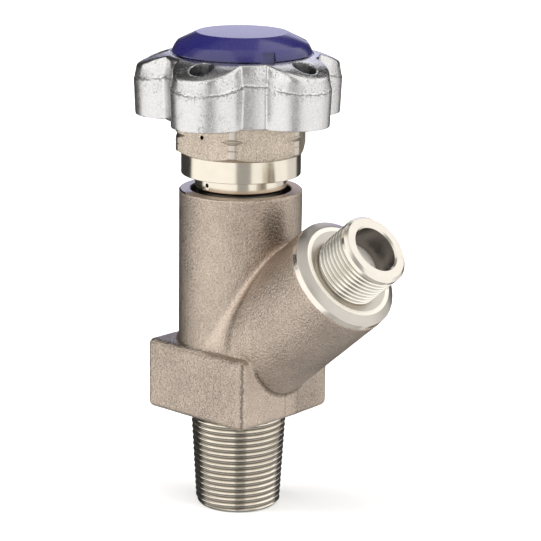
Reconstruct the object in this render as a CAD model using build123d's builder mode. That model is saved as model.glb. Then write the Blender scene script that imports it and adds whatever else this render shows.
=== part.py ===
from build123d import *

import os
from math import cos, radians, sin, tan

# A diaphragm valve for a drum or large cylinder, in millimetres. The origin is the centre of the inlet
# stem's lower end, +Z runs up the spindle, and the outlet branch leans up towards +X.

# Clearances shared by all fits
running_clearance = 0.05
loose_clearance = 0.3
flat_clearance = 0.5

# Both stem threads have 14 turns to the inch, 55 degree flanks and a flattened crest
pitch = 25.4 / 14
thread_depth = 1.1
crest_width = 0.34
root_width = 0.3
thread_flank = (pitch - crest_width - root_width) / 2

# Inlet stem, tapered 3 in 25 on its diameter
inlet_thread_length = 26.0
inlet_large_radius = 14.4
inlet_taper = 3 / 25 / 2
inlet_chamfer = 1.15
inlet_neck_length = 4.3
dip_socket_radius = 5.5
dip_socket_depth = 22.0
inlet_passage_radius = 4.0

# Forged foot block, which takes the spanner
block_side = 39.6
block_height = 21.6
block_corner = 2.6
block_edge = 0.9

# Forged neck, whose mouth takes the bonnet
neck_radius = 18.45
neck_length = 46.6
neck_edge = 0.35

# Outlet branch: its axis crosses the stem axis below the block's top, and lengths run along it from there
branch_angle = 40.0
cross_drop = 7.4
branch_radius = 17.5
branch_length = 52.4
branch_fillet = 2.6
flange_step = 0.2
flange_length = 1.9
flange_bevel = 1.7
shoulder_radius = 14.6
relief_length = 1.5
outlet_thread_radius = 10.9
outlet_thread_length = 11.8
outlet_nose_length = 1.05
outlet_chamfer = 0.95
socket_radius = 7.0
socket_depth = 8.5
outlet_passage_radius = 3.5

# Chamber, seat nozzle and the drilling that joins the chamber to the branch
chamber_radius = 11.5
chamber_height = 12.0
nozzle_wall = 1.9
nozzle_height = 2.2
drilling_radius = 2.2
mouth_radius = 15.05
mouth_depth = 14.5
moat_step = 0.25
moat_depth = 3.5

# Diaphragms and the ring that clamps their rims
diaphragm_thickness = 0.25
diaphragm_count = 3
clamp_ring_height = 2.5
clamp_ring_bore = 7.3

# Plunger, seat disc, its retainer and the return spring, each inside the one before: chamber, plunger
# flange, spring, retainer, seat
plunger_gap = 0.9
plunger_flange_height = 1.6
plunger_hub_radius = 5.0
spring_wire = 1.2
spring_turns = 3
wire_sides = 8
retainer_wall = 1.4
retainer_lip = 0.8
retainer_height = 4.4
seat_boss_height = 1.2
seat_flange_height = 1.6

# Thrust button and ball under the spindle
button_height = 1.75
button_stem_radius = 3.5
button_stem_height = 1.1
ball_radius = 2.0

# Bonnet: hexagon, collar, shank and skirt, turned in one piece
hexagon_across = 36.6
hexagon_turned_radius = 20.6
hexagon_height = 12.3
hexagon_turn = 5.8
corner_groove_height = 6.4
corner_groove_depth = 0.94
corner_groove_width = 1.4
line_groove_height = 3.85
line_groove_depth = 0.25
line_groove_width = 0.3
collar_radius = 17.9
collar_height = 6.4
shank_radius = 13.75
shank_gap = 0.7
shank_height = 4.0
shank_round = 0.9
thread_relief_step = 0.25
vent_radius = 0.65
vent_depth = 3.0
hexagon_vent_angle = -85.9
hexagon_vent_height = 6.7
shank_vent_angle = -93.6
shank_vent_height = 2.2

# Spindle, its brass bush, seals and clip
spindle_radius = 6.0
bush_radius = 9.5
bush_height = 13.8
clip_radius = 7.4
clip_thickness = 1.0
clip_groove_depth = 0.8
spindle_lift = 1.5
o_ring_section = 0.78
o_ring_groove_depth = 1.5
o_ring_drop = 8.8
wiper_radius = 8.5
wiper_height = 2.5
square_across = 8.4
square_length = 9.6

# Handwheel casting with five hollow lobes
lobe_count = 5
lobe_radius = 11.2
lobe_circle_radius = 21.2
lobe_turn = -74.2
core_radius = 24.0
wheel_wall = 2.1
wheel_overlap = 1.6
parting_rise = 11.3
rim_rise = 2.8
crown_rise = 5.0
crown_sag = 0.75
wheel_draft = 2.4
edge_round = 0.5
valley_round = 0.6
web_thickness = 3.0
cap_lip = 1.2
cap_seat_depth = 0.3
hub_radius = 9.5
rib_thickness = 2.2
rib_depth = 4.5
lobe_hole_radius = 3.25
lobe_hole_offset = 4.4

# Wheel screw and washer
screw_radius = 2.95
screw_length = 10.0
screw_head_radius = 5.4
screw_head_height = 3.2
screw_socket_across = 4.0
screw_socket_depth = 2.2
washer_radius = 8.0
washer_thickness = 1.2

# Snap-in cap
cap_top_radius = 13.56
cap_break_radius = 18.0
cap_radius = 20.8
cap_height = 6.4
cap_break_height = 3.5
cap_wall = 1.6
cap_snap_wall = 1.2
cap_snap_depth = 3.6
cap_notch_width = 4.0
cap_notch_height = 2.9
cap_notch_depth = 0.9
cap_notch_turn = -24.5
cap_skirt_arc = 9.0

# Radii that follow from the sizes above
flange_radius = branch_radius - flange_step
moat_radius = mouth_radius + moat_step
nozzle_radius = inlet_passage_radius + nozzle_wall
drilling_offset = chamber_radius - drilling_radius - loose_clearance
plunger_flange_radius = chamber_radius - plunger_gap
spring_radius = plunger_flange_radius - spring_wire
retainer_radius = spring_radius - spring_wire / 2 - loose_clearance
seat_flange_radius = retainer_radius - retainer_wall
seat_boss_radius = seat_flange_radius - retainer_lip
button_radius = clamp_ring_bore - loose_clearance
thread_relief_radius = shank_radius - shank_round - thread_relief_step
top_recess_radius = cap_radius - cap_lip
lobe_hole_circle_radius = lobe_circle_radius + lobe_hole_offset

# Heights that follow from the sizes above
block_bottom = inlet_thread_length + inlet_neck_length
block_top = block_bottom + block_height
neck_top = block_top + neck_length
cross_height = block_top - cross_drop
diaphragm_seat = neck_top - mouth_depth
chamber_floor = diaphragm_seat - chamber_height
nozzle_top = chamber_floor + nozzle_height
stack_top = diaphragm_seat + diaphragm_count * diaphragm_thickness
clamp_top = stack_top + clamp_ring_height
shank_bottom = neck_top + shank_gap
collar_bottom = shank_bottom + shank_height
hexagon_bottom = collar_bottom + collar_height
hexagon_top = hexagon_bottom + hexagon_height
button_top = stack_top + button_height + button_stem_height
spindle_bottom = button_top + ball_radius / 2
clip_bottom = spindle_bottom + clip_groove_depth
bush_bottom = clip_bottom + clip_thickness + spindle_lift + loose_clearance
bush_top = bush_bottom + bush_height
o_ring_height = hexagon_top - wiper_height - o_ring_drop
hub_bottom = hexagon_top + flat_clearance
hub_top = hub_bottom + square_length
recess_floor = hub_top + loose_clearance
wheel_bottom = hexagon_top - wheel_overlap
parting_height = wheel_bottom + parting_rise
rim_height = parting_height + rim_rise
crown_height = rim_height + crown_rise
cap_bottom = crown_height - cap_seat_depth

# Distances along the branch axis
flange_face = branch_length + flange_length
shoulder_face = flange_face + flange_bevel
outlet_thread_start = shoulder_face + relief_length
outlet_face = outlet_thread_start + outlet_thread_length

lean = radians(branch_angle)
branch_direction = (cos(lean), 0, sin(lean))
branch_origin = (0, 0, cross_height)
branch_axis = Axis(branch_origin, branch_direction)
branch_section = Plane(origin=branch_origin, x_dir=(-sin(lean), 0, cos(lean)), z_dir=(0, 1, 0))
branch_end = Plane(origin=branch_origin, x_dir=(0, 1, 0), z_dir=branch_direction)

os.makedirs("parts", exist_ok=True)


def save(name, label):
    """Labels a finished piece and writes it as its own STEP file."""
    name.part.label = label
    export_step(name.part, f"parts/{label}.step")


def thread_points(start, end, crest_radius_at):
    """Corners of a thread's profile as (radius, distance) pairs, one ridge for each pitch."""
    ridges = int((end - start) / pitch)
    points = []
    for ridge in range(ridges):
        foot = start + ridge * pitch + root_width / 2
        for distance, depth in (
            (foot, thread_depth),
            (foot + thread_flank, 0),
            (foot + thread_flank + crest_width, 0),
            (foot + 2 * thread_flank + crest_width, thread_depth),
        ):
            points.append((crest_radius_at(distance) - depth, distance))
    return points


def inlet_crest_radius(height):
    """The tapered stem's radius over its crests."""
    return inlet_large_radius - inlet_taper * (inlet_thread_length - height)


def turned(*outline, plane=Plane.XZ, axis=Axis.Z, mode=Mode.ADD):
    """Revolves a closed outline of (radius, distance along the axis) points."""
    with BuildSketch(plane) as section:
        with BuildLine():
            Polyline(*outline, close=True)
        make_face()
    revolve(section.sketch, axis=axis, mode=mode)


# Valve body: the forging first, then its turned ends and drillings
with BuildPart() as valve_body:
    with BuildSketch(Plane.XY.offset(block_bottom)):
        Circle(neck_radius)
    extrude(amount=neck_top - block_bottom)
    with BuildSketch(branch_end):
        Circle(branch_radius)
    extrude(amount=branch_length)
    fillet(valve_body.edges().filter_by(GeomType.BSPLINE), branch_fillet)
    chamfer(valve_body.edges().group_by(Axis.Z)[-1], neck_edge)
    with BuildPart(mode=Mode.PRIVATE) as block:
        with BuildSketch(Plane.XY.offset(block_bottom)):
            RectangleRounded(block_side, block_side, block_corner)
        extrude(amount=block_height)
        chamfer(block.edges().group_by(Axis.Z)[-1], block_edge)
        chamfer(block.edges().group_by(Axis.Z)[0], block_edge)
    add(block.part)

    # Tapered inlet stem with its thread, up into the foot block
    thread_run = thread_points(inlet_chamfer, inlet_thread_length, inlet_crest_radius)
    neck_root = inlet_large_radius - thread_depth
    turned(
        (0, 0),
        (inlet_crest_radius(0) - inlet_chamfer, 0),
        *thread_run,
        (neck_root, inlet_thread_length),
        (neck_root, block_bottom + block_edge),
        (0, block_bottom + block_edge),
    )

    # Turned outlet end: bevelled flange, shoulder, relief groove, parallel thread and smooth nose
    nose_end = outlet_face - outlet_chamfer
    nose_start = nose_end - outlet_nose_length
    thread_run = thread_points(outlet_thread_start, nose_start, lambda distance: outlet_thread_radius)
    relief_radius = outlet_thread_radius - thread_depth
    turned(
        (0, branch_length - flange_length),
        (flange_radius, branch_length - flange_length),
        (flange_radius, flange_face),
        (shoulder_radius, shoulder_face),
        (relief_radius, shoulder_face),
        (relief_radius, outlet_thread_start),
        *thread_run,
        (relief_radius, nose_start - thread_flank),
        (outlet_thread_radius, nose_start),
        (outlet_thread_radius, nose_end),
        (outlet_thread_radius - outlet_chamfer, outlet_face),
        (0, outlet_face),
        plane=branch_section,
        axis=branch_axis,
    )

    # Mouth for the bonnet, chamber with its seat nozzle, and the inlet with its socket for a dip tube
    turned(
        (0, 0),
        (dip_socket_radius, 0),
        (dip_socket_radius, dip_socket_depth),
        (inlet_passage_radius, dip_socket_depth),
        (inlet_passage_radius, nozzle_top),
        (nozzle_radius, nozzle_top),
        (nozzle_radius, chamber_floor),
        (chamber_radius, chamber_floor),
        (chamber_radius, diaphragm_seat),
        (mouth_radius, diaphragm_seat),
        (mouth_radius, neck_top - moat_depth),
        (moat_radius, neck_top - moat_depth),
        (moat_radius, neck_top),
        (0, neck_top),
        mode=Mode.SUBTRACT,
    )

    # Drilling down from the chamber floor, and the outlet passage that meets it
    meeting = drilling_offset / cos(lean)
    with BuildSketch(Plane.XY.offset(chamber_floor)):
        with Locations((drilling_offset, 0)):
            Circle(drilling_radius)
    extrude(amount=cross_height + drilling_offset * tan(lean) - chamber_floor, mode=Mode.SUBTRACT)
    with BuildSketch(branch_end.offset(outlet_face)):
        Circle(socket_radius)
    extrude(amount=-socket_depth, mode=Mode.SUBTRACT)
    with BuildSketch(branch_end.offset(outlet_face)):
        Circle(outlet_passage_radius)
    extrude(amount=meeting - outlet_face, mode=Mode.SUBTRACT)
save(valve_body, "valve_body")

# Stack of thin diaphragms, clamped at the rim
for count in range(diaphragm_count):
    with BuildPart() as diaphragm:
        with BuildSketch(Plane.XY.offset(diaphragm_seat + count * diaphragm_thickness)):
            Circle(mouth_radius - running_clearance)
        extrude(amount=diaphragm_thickness)
    save(diaphragm, f"diaphragm_{count + 1}")

# Ring between the diaphragms' rims and the bonnet
with BuildPart() as clamp_ring:
    with BuildSketch(Plane.XY.offset(stack_top)):
        Circle(mouth_radius - running_clearance)
        Circle(clamp_ring_bore, mode=Mode.SUBTRACT)
    extrude(amount=clamp_ring_height)
save(clamp_ring, "clamp_ring")

# Seat disc: a soft plug with a flange that its retainer holds
seat_flange_bottom = nozzle_top + seat_boss_height
plunger_bottom = seat_flange_bottom + seat_flange_height
with BuildPart() as seat_disc:
    turned(
        (0, nozzle_top),
        (seat_boss_radius, nozzle_top),
        (seat_boss_radius, seat_flange_bottom),
        (seat_flange_radius, seat_flange_bottom),
        (seat_flange_radius, plunger_bottom),
        (0, plunger_bottom),
    )
save(seat_disc, "seat_disc")

# Retainer cup, screwed over the plunger's foot
plunger_foot_radius = seat_flange_radius + running_clearance
with BuildPart() as seat_retainer:
    turned(
        (seat_boss_radius + running_clearance, seat_flange_bottom - retainer_lip),
        (retainer_radius, seat_flange_bottom - retainer_lip),
        (retainer_radius, seat_flange_bottom - retainer_lip + retainer_height),
        (plunger_foot_radius, seat_flange_bottom - retainer_lip + retainer_height),
        (plunger_foot_radius, seat_flange_bottom),
        (seat_boss_radius + running_clearance, seat_flange_bottom),
    )
save(seat_retainer, "seat_retainer")

# Plunger, which the diaphragms push down and the spring lifts
plunger_flange_bottom = diaphragm_seat - plunger_flange_height * 2
with BuildPart() as plunger:
    turned(
        (0, plunger_bottom),
        (seat_flange_radius, plunger_bottom),
        (seat_flange_radius, plunger_flange_bottom),
        (plunger_flange_radius, plunger_flange_bottom),
        (plunger_flange_radius, plunger_flange_bottom + plunger_flange_height),
        (plunger_hub_radius, plunger_flange_bottom + plunger_flange_height),
        (plunger_hub_radius, diaphragm_seat),
        (0, diaphragm_seat),
    )
save(plunger, "plunger")

# Return spring between the chamber floor and the plunger's flange
spring_length = plunger_flange_bottom - chamber_floor - spring_wire
with BuildPart() as return_spring:
    with BuildLine():
        coil = Helix(
            pitch=spring_length / spring_turns,
            height=spring_length,
            radius=spring_radius,
            center=(0, 0, chamber_floor + spring_wire / 2),
        )
    with BuildSketch(Plane(origin=coil @ 0, z_dir=coil % 0)):
        RegularPolygon(spring_wire / 2 - running_clearance, wire_sides)
    sweep(path=coil, is_frenet=True)
save(return_spring, "return_spring")

# Thrust button on the diaphragms, and the ball that carries the spindle's push
with BuildPart() as thrust_button:
    turned(
        (0, stack_top),
        (button_radius, stack_top),
        (button_radius, stack_top + button_height),
        (button_stem_radius, stack_top + button_height),
        (button_stem_radius, button_top),
        (0, button_top),
    )
save(thrust_button, "thrust_button")

ball_center = button_top + ball_radius
with BuildPart() as thrust_ball:
    with Locations((0, 0, ball_center)):
        Sphere(ball_radius)
save(thrust_ball, "thrust_ball")

# Bonnet: a turned skirt, shank and collar under a hexagon with turned corners
bonnet_cavity_radius = bush_radius + running_clearance
gland_bore_radius = spindle_radius + 2 * running_clearance
chamfer_rise = (hexagon_turned_radius - collar_radius) * tan(radians(30))
with BuildPart() as bonnet:
    with BuildSketch(Plane.XY.offset(hexagon_bottom)):
        RegularPolygon(hexagon_across / 2, 6, major_radius=False, rotation=hexagon_turn)
    extrude(amount=hexagon_height)
    corner_middle = hexagon_bottom + corner_groove_height
    line_middle = hexagon_bottom + line_groove_height
    with BuildPart(mode=Mode.PRIVATE) as hexagon_turning:
        turned(
            (0, hexagon_bottom),
            (collar_radius, hexagon_bottom),
            (hexagon_turned_radius, hexagon_bottom + chamfer_rise),
            (hexagon_turned_radius, line_middle - line_groove_width / 2),
            (hexagon_turned_radius - line_groove_depth, line_middle),
            (hexagon_turned_radius, line_middle + line_groove_width / 2),
            (hexagon_turned_radius, corner_middle - corner_groove_width / 2),
            (hexagon_turned_radius - corner_groove_depth, corner_middle),
            (hexagon_turned_radius, corner_middle + corner_groove_width / 2),
            (hexagon_turned_radius, hexagon_top - chamfer_rise),
            (collar_radius, hexagon_top),
            (0, hexagon_top),
        )
    add(hexagon_turning.part, mode=Mode.INTERSECT)
    turned(
        (0, clamp_top),
        (mouth_radius - running_clearance, clamp_top),
        (mouth_radius - running_clearance, neck_top - moat_depth),
        (thread_relief_radius, neck_top - moat_depth),
        (thread_relief_radius, shank_bottom),
        (shank_radius - shank_round, shank_bottom),
        (shank_radius, shank_bottom + shank_round),
        (shank_radius, collar_bottom),
        (collar_radius, collar_bottom),
        (collar_radius, hexagon_bottom),
        (0, hexagon_bottom),
    )

    # Bore: cavity for the bush and clip, gland for the seals
    turned(
        (0, clamp_top),
        (bonnet_cavity_radius, clamp_top),
        (bonnet_cavity_radius, bush_top),
        (gland_bore_radius, bush_top),
        (gland_bore_radius, hexagon_top - wiper_height),
        (wiper_radius, hexagon_top - wiper_height),
        (wiper_radius, hexagon_top),
        (0, hexagon_top),
        mode=Mode.SUBTRACT,
    )

    # Leak test drillings in the hexagon and the shank
    for angle, height, surface_radius in (
        (hexagon_vent_angle, hexagon_bottom + hexagon_vent_height, hexagon_turned_radius),
        (shank_vent_angle, collar_bottom - shank_vent_height, shank_radius),
    ):
        outward = (cos(radians(angle)), sin(radians(angle)), 0)
        mouth = (surface_radius * outward[0], surface_radius * outward[1], height)
        with BuildSketch(Plane(origin=mouth, x_dir=(0, 0, 1), z_dir=outward)):
            Circle(vent_radius)
        extrude(amount=-vent_depth, mode=Mode.SUBTRACT)
save(bonnet, "bonnet")

# Brass bush that holds the spindle's thread
with BuildPart() as spindle_bush:
    with BuildSketch(Plane.XY.offset(bush_bottom)):
        Circle(bush_radius)
        Circle(spindle_radius + running_clearance, mode=Mode.SUBTRACT)
    extrude(amount=bush_height)
save(spindle_bush, "spindle_bush")

# Wiper seal in the top of the bonnet
with BuildPart() as wiper_seal:
    with BuildSketch(Plane.XY.offset(hexagon_top - wiper_height)):
        Circle(wiper_radius - running_clearance)
        Circle(spindle_radius + 2 * running_clearance, mode=Mode.SUBTRACT)
    extrude(amount=wiper_height)
save(wiper_seal, "wiper_seal")

# Spindle: clip groove, thread, seal groove and a square for the handwheel
pocket_radius = ball_radius + running_clearance
with BuildPart() as spindle:
    groove_radius = spindle_radius - clip_groove_depth
    seal_radius = spindle_radius - o_ring_groove_depth
    seal_half = o_ring_section + running_clearance
    turned(
        (0, spindle_bottom),
        (spindle_radius, spindle_bottom),
        (spindle_radius, clip_bottom),
        (groove_radius, clip_bottom),
        (groove_radius, clip_bottom + clip_thickness),
        (spindle_radius, clip_bottom + clip_thickness),
        (spindle_radius, o_ring_height - seal_half),
        (seal_radius, o_ring_height - seal_half),
        (seal_radius, o_ring_height + seal_half),
        (spindle_radius, o_ring_height + seal_half),
        (spindle_radius, hub_bottom),
        (0, hub_bottom),
    )
    with BuildSketch(Plane.XY.offset(hub_bottom)):
        Rectangle(square_across, square_across)
    extrude(amount=square_length)
    with BuildSketch(Plane.XY.offset(hub_top)):
        Circle(screw_radius + running_clearance)
    extrude(amount=-screw_length - flat_clearance, mode=Mode.SUBTRACT)
    with BuildSketch(Plane.XY.offset(spindle_bottom)):
        Circle(pocket_radius)
    extrude(amount=ball_center + ball_radius - spindle_bottom, mode=Mode.SUBTRACT)
save(spindle, "spindle")

# Retaining clip that stops the spindle under the bush
with BuildPart() as retaining_clip:
    with BuildSketch(Plane.XY.offset(clip_bottom)):
        Circle(clip_radius)
        Circle(groove_radius + running_clearance, mode=Mode.SUBTRACT)
        with Locations((clip_radius, 0)):
            Rectangle(clip_radius, clip_radius / 2, mode=Mode.SUBTRACT)
    extrude(amount=clip_thickness)
save(retaining_clip, "retaining_clip")

# O-ring in the spindle's groove
with BuildPart() as spindle_o_ring:
    with BuildSketch(Plane.XZ):
        with Locations((seal_radius + running_clearance / 2 + o_ring_section, o_ring_height)):
            Circle(o_ring_section - running_clearance / 2)
    revolve(axis=Axis.Z)
save(spindle_o_ring, "spindle_o_ring")


def lobed_outline(inset):
    """The handwheel's plan, or its inner wall when inset from it."""
    with BuildSketch() as outline:
        Circle(core_radius - inset)
        with PolarLocations(lobe_circle_radius, lobe_count, start_angle=lobe_turn):
            Circle(lobe_radius - inset)
        fillet(outline.vertices(), valley_round)
    return outline.sketch


def crown_line(drop, inner, outer):
    """Arc of the handwheel's domed crown between two radii, lowered by drop."""
    top = (inner, crown_height - drop)
    middle = ((inner + outer) / 2, (crown_height + rim_height) / 2 + crown_sag - drop)
    ThreePointArc(top, middle, (outer, rim_height - drop))


# Handwheel: a drafted lobed casting under a domed crown, hollow underneath
rim_radius = lobe_circle_radius + lobe_radius
cavity_rim = rim_radius - wheel_wall
cavity_inner = top_recess_radius + wheel_wall
web_bottom = recess_floor - web_thickness
with BuildPart() as handwheel:
    with BuildSketch(Plane.XY.offset(parting_height)):
        add(lobed_outline(0))
    extrude(amount=wheel_bottom - parting_height, taper=wheel_draft)
    with BuildSketch(Plane.XY.offset(parting_height)):
        add(lobed_outline(0))
    extrude(amount=crown_height - parting_height, taper=wheel_draft)
    with BuildPart(mode=Mode.PRIVATE) as crown:
        with BuildSketch(Plane.XZ):
            with BuildLine():
                crown_line(0, cap_radius, rim_radius)
                Polyline(
                    (rim_radius, rim_height),
                    (rim_radius + edge_round, rim_height - edge_round),
                    (rim_radius + edge_round, wheel_bottom),
                    (0, wheel_bottom),
                    (0, crown_height),
                    (cap_radius, crown_height),
                )
            make_face()
        revolve(axis=Axis.Z)
    add(crown.part, mode=Mode.INTERSECT)
    fillet(handwheel.edges().group_by(Axis.Z)[0], edge_round)

    # Hollow underside, following the crown, around a hub with stiffening ribs
    with BuildPart(mode=Mode.PRIVATE) as hollow:
        with BuildSketch(Plane.XY.offset(wheel_bottom)):
            add(lobed_outline(wheel_wall))
        extrude(amount=crown_height - wheel_bottom)
        with BuildPart(mode=Mode.PRIVATE) as ceiling:
            with BuildSketch(Plane.XZ):
                with BuildLine():
                    crown_line(web_thickness, cavity_inner, cavity_rim)
                    Polyline(
                        (cavity_rim, rim_height - web_thickness),
                        (cavity_rim, wheel_bottom),
                        (0, wheel_bottom),
                        (0, web_bottom),
                        (cavity_inner, web_bottom),
                        (cavity_inner, crown_height - web_thickness),
                    )
                make_face()
            revolve(axis=Axis.Z)
        add(ceiling.part, mode=Mode.INTERSECT)
        with BuildSketch(Plane.XY.offset(hub_bottom)):
            Circle(hub_radius)
        extrude(amount=web_bottom - hub_bottom, mode=Mode.SUBTRACT)
        with BuildSketch(Plane.XY.offset(web_bottom - rib_depth)):
            with PolarLocations(core_radius / 2, lobe_count, start_angle=lobe_turn + 180 / lobe_count):
                Rectangle(core_radius, rib_thickness)
        extrude(amount=rib_depth, mode=Mode.SUBTRACT)
    add(hollow.part, mode=Mode.SUBTRACT)

    # Recess for the cap and screw, square for the spindle, and a hole in each lobe
    with BuildSketch(Plane.XY.offset(crown_height)):
        Circle(top_recess_radius)
    extrude(amount=recess_floor - crown_height, mode=Mode.SUBTRACT)
    with BuildSketch(Plane.XY.offset(crown_height)):
        Circle(cap_radius + running_clearance)
    extrude(amount=-cap_seat_depth, mode=Mode.SUBTRACT)
    with BuildSketch(Plane.XY.offset(hub_bottom)):
        Rectangle(square_across + 2 * running_clearance, square_across + 2 * running_clearance)
    extrude(amount=recess_floor - hub_bottom, mode=Mode.SUBTRACT)
    with BuildSketch(Plane.XY.offset(crown_height)):
        with PolarLocations(lobe_hole_circle_radius, lobe_count, start_angle=lobe_turn):
            Circle(lobe_hole_radius)
    extrude(amount=rim_height - web_thickness - flat_clearance - crown_height, mode=Mode.SUBTRACT)
save(handwheel, "handwheel")

# Washer and screw that hold the handwheel on the square
screw_seat = recess_floor + washer_thickness
with BuildPart() as wheel_washer:
    with BuildSketch(Plane.XY.offset(recess_floor)):
        Circle(washer_radius)
        Circle(screw_radius + loose_clearance, mode=Mode.SUBTRACT)
    extrude(amount=washer_thickness)
save(wheel_washer, "wheel_washer")

with BuildPart() as wheel_screw:
    turned(
        (0, hub_top - screw_length),
        (screw_radius, hub_top - screw_length),
        (screw_radius, screw_seat),
        (screw_head_radius, screw_seat),
        (screw_head_radius, screw_seat + screw_head_height),
        (0, screw_seat + screw_head_height),
    )
    with BuildSketch(Plane.XY.offset(screw_seat + screw_head_height)):
        RegularPolygon(screw_socket_across / 2, 6, major_radius=False)
    extrude(amount=-screw_socket_depth, mode=Mode.SUBTRACT)
save(wheel_screw, "wheel_screw")

# Moulded cap: a flat top, a sloping flank and a bulged skirt, snapped into the recess
snap_radius = top_recess_radius - running_clearance
cap_break = (cap_break_radius, cap_bottom + cap_break_height)
cap_inner_top = cap_bottom + cap_height - cap_wall
with BuildPart() as wheel_cap:
    with BuildSketch(Plane.XZ):
        with BuildLine():
            Polyline((cap_radius, cap_bottom), (0, cap_bottom), (0, cap_bottom + cap_height))
            Line((0, cap_bottom + cap_height), (cap_top_radius, cap_bottom + cap_height))
            Line((cap_top_radius, cap_bottom + cap_height), cap_break)
            RadiusArc(cap_break, (cap_radius, cap_bottom), cap_skirt_arc)
        make_face()
    revolve(axis=Axis.Z)
    turned(
        (0, cap_bottom),
        (snap_radius - cap_snap_wall, cap_bottom),
        (cap_top_radius - cap_wall / 2, cap_inner_top),
        (0, cap_inner_top),
        mode=Mode.SUBTRACT,
    )
    with BuildSketch(Plane.XY.offset(cap_bottom)):
        Circle(snap_radius)
        Circle(snap_radius - cap_snap_wall, mode=Mode.SUBTRACT)
    extrude(amount=-cap_snap_depth)
    notch_direction = (cos(radians(cap_notch_turn)), sin(radians(cap_notch_turn)), 0)
    with BuildSketch(Plane(origin=(0, 0, cap_bottom + cap_notch_height / 2), z_dir=notch_direction)) as notch:
        Rectangle(cap_notch_height, cap_notch_width)
    cap_notch_floor = cap_radius - cap_notch_depth
    extrude(notch.sketch.moved(Location(Vector(*notch_direction) * cap_notch_floor)), amount=cap_radius,
            mode=Mode.SUBTRACT)
save(wheel_cap, "wheel_cap")
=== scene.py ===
from math import atan2, cos, hypot, pi, radians, sin, sqrt, tan

import bmesh
import bpy
import numpy as np
from bpy.props import FloatProperty, FloatVectorProperty, IntProperty, PointerProperty
from mathutils import Matrix, Vector


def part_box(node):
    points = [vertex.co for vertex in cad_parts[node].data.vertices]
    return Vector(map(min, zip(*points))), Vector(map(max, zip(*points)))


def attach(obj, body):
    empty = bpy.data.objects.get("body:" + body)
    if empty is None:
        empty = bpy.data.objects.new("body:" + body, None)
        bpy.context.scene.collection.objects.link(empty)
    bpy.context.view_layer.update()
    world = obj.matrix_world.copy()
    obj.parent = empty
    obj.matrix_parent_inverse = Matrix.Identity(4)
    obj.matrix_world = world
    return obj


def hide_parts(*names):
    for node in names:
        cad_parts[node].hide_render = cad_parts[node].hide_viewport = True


bl_info = {
    "name": "Drum valve",
    "version": (1, 0),
    "blender": (4, 5, 0),
    "location": "3D View > Sidebar > Drum valve",
    "description": "Builds the looks of a diaphragm drum valve around its packed CAD model",
    "category": "Object",
}

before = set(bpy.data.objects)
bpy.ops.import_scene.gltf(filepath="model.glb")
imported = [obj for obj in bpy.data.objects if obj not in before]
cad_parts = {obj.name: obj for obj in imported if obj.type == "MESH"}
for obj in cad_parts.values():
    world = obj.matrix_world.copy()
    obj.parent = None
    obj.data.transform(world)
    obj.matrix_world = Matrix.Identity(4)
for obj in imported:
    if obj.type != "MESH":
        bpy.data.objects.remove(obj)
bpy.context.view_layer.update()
neck_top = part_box("valve_body")[1].z
bonnet_low, bonnet_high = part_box("bonnet")
wheel_low, wheel_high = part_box("handwheel")
cap_low, cap_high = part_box("wheel_cap")

MM = 0.001
MERGE = 0.001 * MM

# Shares of a thread's pitch, and rows of faces across one pitch
ROOT_SHARE = 0.02
FLANK_SHARE = 0.46
THREAD_ROWS = 12

# Faces round each kind of turned surface
INLET_ROUND = 112
OUTLET_ROUND = 96
BONNET_ROUND = 192
DRILL_ROUND = 24

# Lengths and rates that no user would change: blends, the forging's skin and the casting's parting line
END_BLEND = 0.5 * MM
CAST_BLEND = 1.2 * MM
HOLE_LIP = 0.7 * MM
SKIN_MARGIN = 2 * MM
WAVES_PER_METRE = 120
FAR_SIDE_LEAN = 0.4
PARTING_WOBBLE = 1.2 * MM
PARTING_WAVES = 300.0
LEANING_HEIGHT = 3 * MM
INSIDE_REACH = 0.35 * MM

# How far a cutter runs past the face that it opens, and how near a face counts as on a surface
OVERRUN = 1 * MM
EDGE = 0.02 * MM

# Camera at the photograph's viewing angle
CAMERA_AT = (0.462705, -0.497626, 0.244412)
CAMERA_TO = (0.007145, 0.005841, 0.073164)
CAMERA_ROLL = radians(0.76)
LENS = 154.453
SENSOR = 36
FLOOR_REACH = 3

# Square lamps: name, side in metres, watts and place
LAMPS = (
    ("key", 2.4, 95, (-1.9, -1.5, 2.6)),
    ("fill", 2.4, 88, (2.3, 1.0, 2.6)),
    ("top", 3.0, 50, (0, -0.6, 4.0)),
)


# Sizes and colours that a user would change


def label(key):
    """The label of a size, from its name in the code."""
    return key.replace("_", " ").capitalize()


def labelled(group):
    """Gives each property of a group its label."""
    for key, made in group.__annotations__.items():
        made.keywords["name"] = label(key)
    return group


def length(description, default):
    """A size property in millimetres of the real object, held in metres."""
    return FloatProperty(description=description, default=default * MM, unit="LENGTH", precision=5)


def angle(description, degrees):
    """A lean or direction."""
    return FloatProperty(description=description, default=radians(degrees), subtype="ANGLE")


def tint(name, description, default):
    """A colour property."""
    return FloatVectorProperty(
        name=name, description=description, default=default, size=3, min=0, max=1, subtype="COLOR"
    )


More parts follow.
